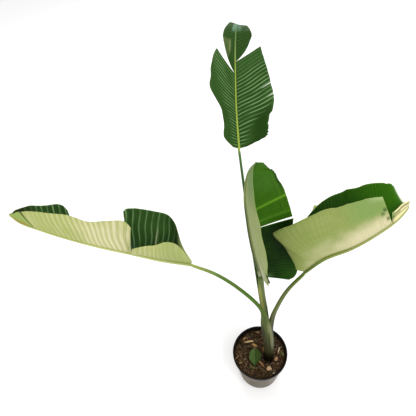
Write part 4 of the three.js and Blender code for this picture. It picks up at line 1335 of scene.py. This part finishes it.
def make_chips(rng, splinters):
    """The large chips, the loose bits and the splinters, all ragged copies of one chip."""
    chip, around = split_chip()
    ragged = []
    for _ in range(CHIP_SHAPES):
        corners = chip * (1 + rng.uniform(-0.2, 0.15, chip.shape))
        narrowing = rng.uniform(0.3, 0.8, 2)[(corners[:, 0] > 0).astype(int)]
        corners[:, 1:] *= (1 - narrowing * np.abs(2 * chip[:, 0]) ** 2)[:, None]
        corners[:, 1] += 0.3 * rng.uniform(-1, 1) * corners[:, 0] ** 2 * 4
        ragged.append((corners, around))
    spots = []
    for bits, lift, widening, thickness, roll, pitch in (
        (BIG_CHIPS, 1.6, 1.2, 2.6, 0.1, 0.06), (LOOSE_BITS, 2, 1, 1.2, 0.2, 0.15),
    ):
        for (x, y), length, width, turn, colour in bits:
            tilt = (rng.uniform(-roll, roll), rng.uniform(-pitch, pitch), math.radians(turn))
            size = (length, width * widening, thickness)
            spots.append(((x, y, soil_height(x, y) + lift), size, tilt, colour))
    for _ in range(splinters):
        x, y = soil_spot(rng)
        size = (rng.uniform(4, 12), rng.uniform(1.2, 3.4), rng.uniform(0.8, 2))
        tilt = (rng.uniform(-0.5, 0.5), rng.uniform(-0.35, 0.35), rng.uniform(0, math.pi))
        tone = rng.uniform(0.15, 1) ** 1.8
        colour = mixed_tone(rng, (0.42, 0.3, 0.18), (0.2, 0.105, 0.04)) * tone
        spots.append(((x, y, soil_height(x, y) + rng.uniform(0, 1.6)), size, tilt, colour))
    return scatter("bark_chips", ragged, spots)


def make_crumbs(rng, crumbs):
    """Loose crumbs of soil, and a few pale grains."""
    bpy.ops.object.select_all(action="DESELECT")
    bpy.ops.mesh.primitive_ico_sphere_add(subdivisions=1, radius=0.5)
    ball, around = shape_of(bpy.context.object)
    lumps = [(ball * (1 + rng.uniform(-0.3, 0.3, ball.shape)), around) for _ in range(CRUMB_SHAPES)]
    spots = []
    for _ in range(crumbs):
        x, y = soil_spot(rng, 2)
        size = rng.uniform(1.2, 4.2) * (1 + rng.uniform(-0.3, 0.3, 3))
        tone = rng.uniform(0.15, 1) ** 1.5
        colour = mixed_tone(rng, (0.3, 0.21, 0.13), (0.05, 0.028, 0.011)) * tone
        turn = rng.uniform(0, 3, 3)
        spots.append(((x, y, soil_height(x, y) + rng.uniform(-0.6, 1.2)), size, turn, colour))
    for _ in range(PALE_GRAINS):
        x, y = soil_spot(rng)
        size = rng.uniform(1.6, 3.2) * np.ones(3)
        colour = np.array([0.62, 0.58, 0.5]) * rng.uniform(0.6, 1)
        spots.append(((x, y, soil_height(x, y) + 1.4), size, rng.uniform(0, 3, 3), colour))
    return scatter("soil_crumbs", lumps, spots)


def make_pot():
    """The pot's wall and floor, drawn up from a ring, and its drain holes."""
    profile = [
        (POT_BASE_RADIUS, 0),
        (NECK_RADIUS, NECK_HEIGHT), (POT_RIM_RADIUS, NECK_HEIGHT + 2), (POT_RIM_RADIUS, POT_HEIGHT),
        (pot_inner_radius(POT_HEIGHT), POT_HEIGHT), (pot_inner_radius(NECK_HEIGHT), NECK_HEIGHT),
        (pot_inner_radius(POT_FLOOR), POT_FLOOR), (CENTRE_RADIUS, POT_FLOOR),
    ]
    bpy.ops.object.select_all(action="DESELECT")
    bpy.ops.mesh.primitive_circle_add(vertices=128, radius=CENTRE_RADIUS * MM, fill_type="NGON")
    piece = bpy.context.object
    piece.name = "nursery_pot"
    bpy.ops.object.mode_set(mode="EDIT")
    bpy.ops.mesh.select_all(action="SELECT")
    bpy.ops.mesh.flip_normals()
    bpy.ops.mesh.select_mode(type="EDGE")
    bpy.ops.mesh.region_to_loop()
    radius, height = CENTRE_RADIUS, 0
    for next_radius, next_height in profile:
        grow = next_radius / radius
        bpy.ops.mesh.extrude_edges_move(
            TRANSFORM_OT_translate={"value": (0, 0, (next_height - height) * MM)}
        )
        bpy.ops.transform.resize(value=(grow, grow, 1), center_override=(0, 0, next_height * MM))
        radius, height = next_radius, next_height
    bpy.ops.mesh.edge_face_add()
    bpy.ops.mesh.select_all(action="SELECT")
    bpy.ops.mesh.normals_make_consistent(inside=False)
    bpy.ops.object.mode_set(mode="OBJECT")
    for k in range(DRAIN_HOLES):
        angle = 2 * math.pi * k / DRAIN_HOLES
        spot = (DRAIN_CIRCLE * MM * math.cos(angle), DRAIN_CIRCLE * MM * math.sin(angle), 0)
        bpy.ops.object.select_all(action="DESELECT")
        bpy.ops.mesh.primitive_cylinder_add(
            vertices=32, radius=DRAIN_RADIUS * MM, depth=4 * POT_FLOOR * MM, location=spot
        )
        cut(piece, bpy.context.object)
    apply_modifier(
        piece, "BEVEL", width=0.9 * MM, segments=3, limit_method="ANGLE",
        angle_limit=math.radians(40),
    )
    shade_by_angle(piece, 35)
    return piece


def pot_finish(look):
    finish = Finish("nursery pot plastic", specular_ior_level=0.12)
    place = finish.object_place()
    x, y, z = finish.axes(place)
    wall_radius = z * (NECK_RADIUS - POT_BASE_RADIUS) / NECK_HEIGHT + (POT_BASE_RADIUS - 1) * MM
    below_rim = z.span((NECK_HEIGHT + 1) * MM, (NECK_HEIGHT - 2) * MM)
    on_wall = ((x * x + y * y) ** 0.5 - wall_radius).span(-0.0006, 0.0002) * below_rim
    dust = finish.noise(place, 30, 4, 0.6)
    scuffs = finish.noise(finish.stretched(place, (1, 1, 6)), 60, 3, 0.6)
    wall_dust_and_light = finish.coats(
        look.pot_film,
        (dust.span(0.35, 0.65), look.pot_film_light),
        # Painted light: the wall lightens towards the right; towards the left it turns a warmer
        # brown.
        (x.span(0.02, 0.085, 0, 0.75), srgb(150, 144, 136)),
        (x.span(-0.02, -0.08, 0, 0.7), srgb(92, 74, 48)),
    )
    plastic = finish.mix(scuffs.span(0.55, 0.8, 0, 0.3), look.pot_plastic, srgb(60, 56, 52))
    return finish.set(
        base_color=finish.mix(on_wall, plastic, wall_dust_and_light), roughness=0.38 + scuffs * 0.2,
        normal=finish.bump(scuffs, 0.0004, 0.4),
    )


# ------------------------------------------------------------------ settings

# The stage, in metres: lights by name, place, share of the key light's power, and size.
LIGHTS = [
    ("key light", (1.1, -1.3, 2.9), 1, 1.6),
    ("back light", (-0.6, 2.6, 2.3), 0.7, 1.8),
]
LIGHT_AIM = (0, 0.15, 0.6)
FLOOR_SIZE = 9
FLOOR_DROP = 0.0005
SENSOR_WIDTH = 36
FAR_CLIP = 30


def length_setting(name, description, default, low=0, high=1000):
    return FloatProperty(
        name=name, description=f"{description}, in millimetres", default=default, min=low, max=high,
    )


def count_setting(name, description, default, low=0):
    return IntProperty(name=name, description=description, default=default, min=low)


def colour_setting(name, description, *default):
    return FloatVectorProperty(
        name=name, description=description, default=srgb(*default), min=0, max=1, subtype="COLOR",
    )


def angle_setting(name, description, degrees):
    return FloatProperty(
        name=name, description=description, default=math.radians(degrees), subtype="ANGLE",
    )


class LeafLook(bpy.types.PropertyGroup):
    """How fine the leaves are."""

    vein_step: length_setting("Vein step", "Distance between the mesh's side veins", 1.5, 0.8, 20)
    blade_thickness: length_setting("Blade thickness", "Thickness of a blade", 0.7, 0.3)
    pleat_depth: FloatProperty(
        name="Pleat depth", description="How far the side veins stand out, as a factor", default=1,
        min=0, max=4, subtype="FACTOR",
    )
    margin_ripple: length_setting("Margin ripple", "Height of the waves along the margin", 1.6)
    margin_wear: length_setting("Margin wear", "Unevenness of the outline", 0.5)


class SoilLook(bpy.types.PropertyGroup):
    """The soil and what lies on it."""

    seed: count_setting("Seed", "Sets the draw of crumbs and chips", 417)
    soil_rings: count_setting("Rings", "Rings in the soil's top", 90, 8)
    crumbs: count_setting("Crumbs", "Loose crumbs of soil", 1500)
    splinters: count_setting("Splinters", "Small bark splinters", 420)
    soil_dark: colour_setting("Damp soil", "Colour in the hollows", 28, 18, 7)
    soil_light: colour_setting("Dry soil", "Colour on the crumbs", 80, 56, 30)


class PotLook(bpy.types.PropertyGroup):
    """The colours of the pot."""

    pot_plastic: colour_setting("Plastic", "Rim and inside", 19, 17, 14)
    pot_film: colour_setting("Wall", "Outside of the wall", 78, 66, 48)
    pot_film_light: colour_setting("Dusty wall", "Dust on the wall", 98, 88, 70)


class StageLook(bpy.types.PropertyGroup):
    """The camera and the lights."""

    camera_place: FloatVectorProperty(
        name="Camera place", description="Where the camera is", default=(0, -0.6, 1.799),
        subtype="TRANSLATION", unit="LENGTH",
    )
    camera_yaw: angle_setting("Yaw", "Turn to the left", 12.36)
    camera_pitch: angle_setting("Pitch", "Tilt down", 50.91)
    camera_roll: angle_setting("Roll", "Turn round the line of sight", -7)
    camera_lens: length_setting("Lens", f"Focal length on a {SENSOR_WIDTH} mm sensor", 37.21, 1)
    sky: FloatProperty(name="Sky", description="Strength of the even light", default=0.8, min=0)
    key: FloatProperty(
        name="Key", description="Power of the large soft light", default=42, min=0, unit="POWER",
    )


# ------------------------------------------------------------------ operators


class PLANT_OT_leaf_blades(bpy.types.Operator):
    """Builds the four blades with their side veins, tears and worn margins"""

    bl_idname = "plant.leaf_blades"
    bl_label = "Leaf Blades"

    def execute(self, context):
        look = context.scene.plant_leaf
        for leaf in LEAVES:
            settle(make_blade(leaf, look), "leaf_blade", f"blade_{leaf['name']}_leaf")
        return {"FINISHED"}


class PLANT_OT_leaf_stalks(bpy.types.Operator):
    """Builds the stalks with their midribs, each cut by those that it wraps round"""

    bl_idname = "plant.leaf_stalks"
    bl_label = "Leaf Stalks"

    def execute(self, context):
        for index, leaf in enumerate(LEAVES):
            piece = rod_piece(f"{leaf['name']}_leaf_stalk", leaf)
            for inner in LEAVES[:index]:
                cut(piece, rod_piece("stalk_cutter", inner, CUT_CLEARANCE))
            keep_largest(piece)
            mark_rod(piece, leaf)
            paint_with(piece, stalk_finish(leaf))
            shade_by_angle(piece, 50)
            settle(piece, "leaf_stalk", f"stalk_{leaf['name']}_leaf")
        return {"FINISHED"}


def keep_largest(piece):
    """Drops the scraps that a cut leaves beside the main body."""
    shape = bmesh.new()
    shape.from_mesh(piece.data)
    groups, seen = [], set()
    for start in shape.verts:
        if start in seen:
            continue
        group, waiting = [], [start]
        seen.add(start)
        while waiting:
            vert = waiting.pop()
            group.append(vert)
            for link in vert.link_edges:
                other = link.other_vert(vert)
                if other not in seen:
                    seen.add(other)
                    waiting.append(other)
        groups.append(group)
    groups.sort(key=len, reverse=True)
    bmesh.ops.delete(shape, geom=[v for group in groups[1:] for v in group], context="VERTS")
    shape.to_mesh(piece.data)
    shape.free()


class PLANT_OT_sprout(bpy.types.Operator):
    """Builds the young leaf in front of the stems"""

    bl_idname = "plant.sprout"
    bl_label = "Sprout"

    def execute(self, context):
        settle(make_blade(SPROUT_LEAF, context.scene.plant_leaf), "sprout", "sprout")
        stalk = rod_piece("sprout_stalk", SPROUT_LEAF, 0, True)
        mark_rod(stalk, SPROUT_LEAF, True)
        paint_with(stalk, stalk_finish(SPROUT_LEAF))
        settle(stalk, "sprout")
        return {"FINISHED"}


class PLANT_OT_soil(bpy.types.Operator):
    """Builds the soil with its crumbs, bark chips, splinters, pale grains and weeds"""

    bl_idname = "plant.soil"
    bl_label = "Soil and Bark"

    def execute(self, context):
        look = context.scene.plant_soil
        rng = np.random.default_rng(look.seed)
        soil = make_soil(look)
        paint_with(soil, soil_finish(look))
        settle(soil, "potting_soil", "soil")
        chips = make_chips(rng, look.splinters)
        paint_with(chips, tinted_finish("bark", 0.8, 420))
        settle(chips, "potting_soil")
        crumbs = make_crumbs(rng, look.crumbs)
        paint_with(crumbs, tinted_finish("crumbs", 0.85, 600))
        settle(crumbs, "potting_soil")
        return {"FINISHED"}


class PLANT_OT_pot(bpy.types.Operator):
    """Builds the nursery pot with its turned-out rim and drain holes"""

    bl_idname = "plant.pot"
    bl_label = "Nursery Pot"

    def execute(self, context):
        pot = make_pot()
        paint_with(pot, pot_finish(context.scene.plant_pot))
        settle(pot, "nursery_pot", "pot")
        return {"FINISHED"}


class PLANT_OT_stage(bpy.types.Operator):
    """Sets up the pale floor, the soft lights and the camera"""

    bl_idname = "plant.stage"
    bl_label = "Stage"

    def execute(self, context):
        look = context.scene.plant_stage
        bpy.ops.object.select_all(action="DESELECT")
        bpy.ops.mesh.primitive_plane_add(size=FLOOR_SIZE, location=(0, 0, -FLOOR_DROP))
        floor = context.object
        floor.name = "pale_floor"
        finish = Finish(
            "pale floor", base_color=(0.93, 0.93, 0.93), roughness=0.9, specular_ior_level=0.1,
            emission_color=(1, 1, 1), emission_strength=0.12,
        )
        paint_with(floor, finish)

        world = bpy.data.worlds.new("soft sky")
        world.use_nodes = True
        background = world.node_tree.nodes["Background"]
        background.inputs["Color"].default_value = (1, 1, 1, 1)
        background.inputs["Strength"].default_value = look.sky
        context.scene.world = world

        for name, place, share, size in LIGHTS:
            bpy.ops.object.light_add(type="AREA", location=place)
            lamp = context.object
            lamp.name = name
            lamp.data.energy = look.key * share
            lamp.data.size = size
            aim = Vector(LIGHT_AIM) - Vector(place)
            lamp.rotation_euler = aim.to_track_quat("-Z", "Y").to_euler()

        bpy.ops.object.camera_add(location=look.camera_place)
        camera = context.object
        camera.data.lens = look.camera_lens
        camera.data.sensor_width = SENSOR_WIDTH
        yaw, pitch, roll = look.camera_yaw, look.camera_pitch, look.camera_roll
        turn = Matrix.Rotation(yaw, 3, "Z") @ Matrix.Rotation(math.pi / 2 - pitch, 3, "X")
        camera.rotation_euler = (turn @ Matrix.Rotation(roll, 3, "Z")).to_euler()
        camera.data.clip_end = FAR_CLIP
        context.scene.camera = camera
        context.scene.view_settings.view_transform = "Standard"
        return {"FINISHED"}


class PLANT_PT_panel(bpy.types.Panel):
    """The plant's tools and settings in the sidebar"""

    bl_idname = "PLANT_PT_panel"
    bl_label = "Potted Bird of Paradise"
    bl_space_type = "VIEW_3D"
    bl_region_type = "UI"
    bl_category = "Plant"

    def draw(self, context):
        for group, steps in PANEL_ROWS:
            box = self.layout.box()
            for step in steps:
                box.operator(step.bl_idname)
            settings = getattr(context.scene, group)
            for name in settings.__annotations__:
                box.prop(settings, name)


PANEL_ROWS = [
    ("plant_stage", [PLANT_OT_stage]),
    ("plant_leaf", [PLANT_OT_leaf_blades, PLANT_OT_leaf_stalks, PLANT_OT_sprout]),
    ("plant_soil", [PLANT_OT_soil]),
    ("plant_pot", [PLANT_OT_pot]),
]
SETTINGS = {
    "plant_leaf": LeafLook, "plant_soil": SoilLook, "plant_pot": PotLook, "plant_stage": StageLook,
}
STEPS = [step for _, steps in PANEL_ROWS for step in steps]


def register():
    for kind in [*SETTINGS.values(), *STEPS, PLANT_PT_panel]:
        bpy.utils.register_class(kind)
    for name, kind in SETTINGS.items():
        setattr(bpy.types.Scene, name, PointerProperty(type=kind))


def unregister():
    for name in SETTINGS:
        delattr(bpy.types.Scene, name)
    for kind in [PLANT_PT_panel, *reversed(STEPS), *SETTINGS.values()]:
        bpy.utils.unregister_class(kind)


def main():
    register()
    for leaf in [*LEAVES, SPROUT_LEAF]:
        leaf["line"] = LeafLine(leaf["midrib"])
    for step in STEPS:
        group, name = step.bl_idname.split(".")
        getattr(getattr(bpy.ops, group), name)()


if __name__ == "__main__":
    main()
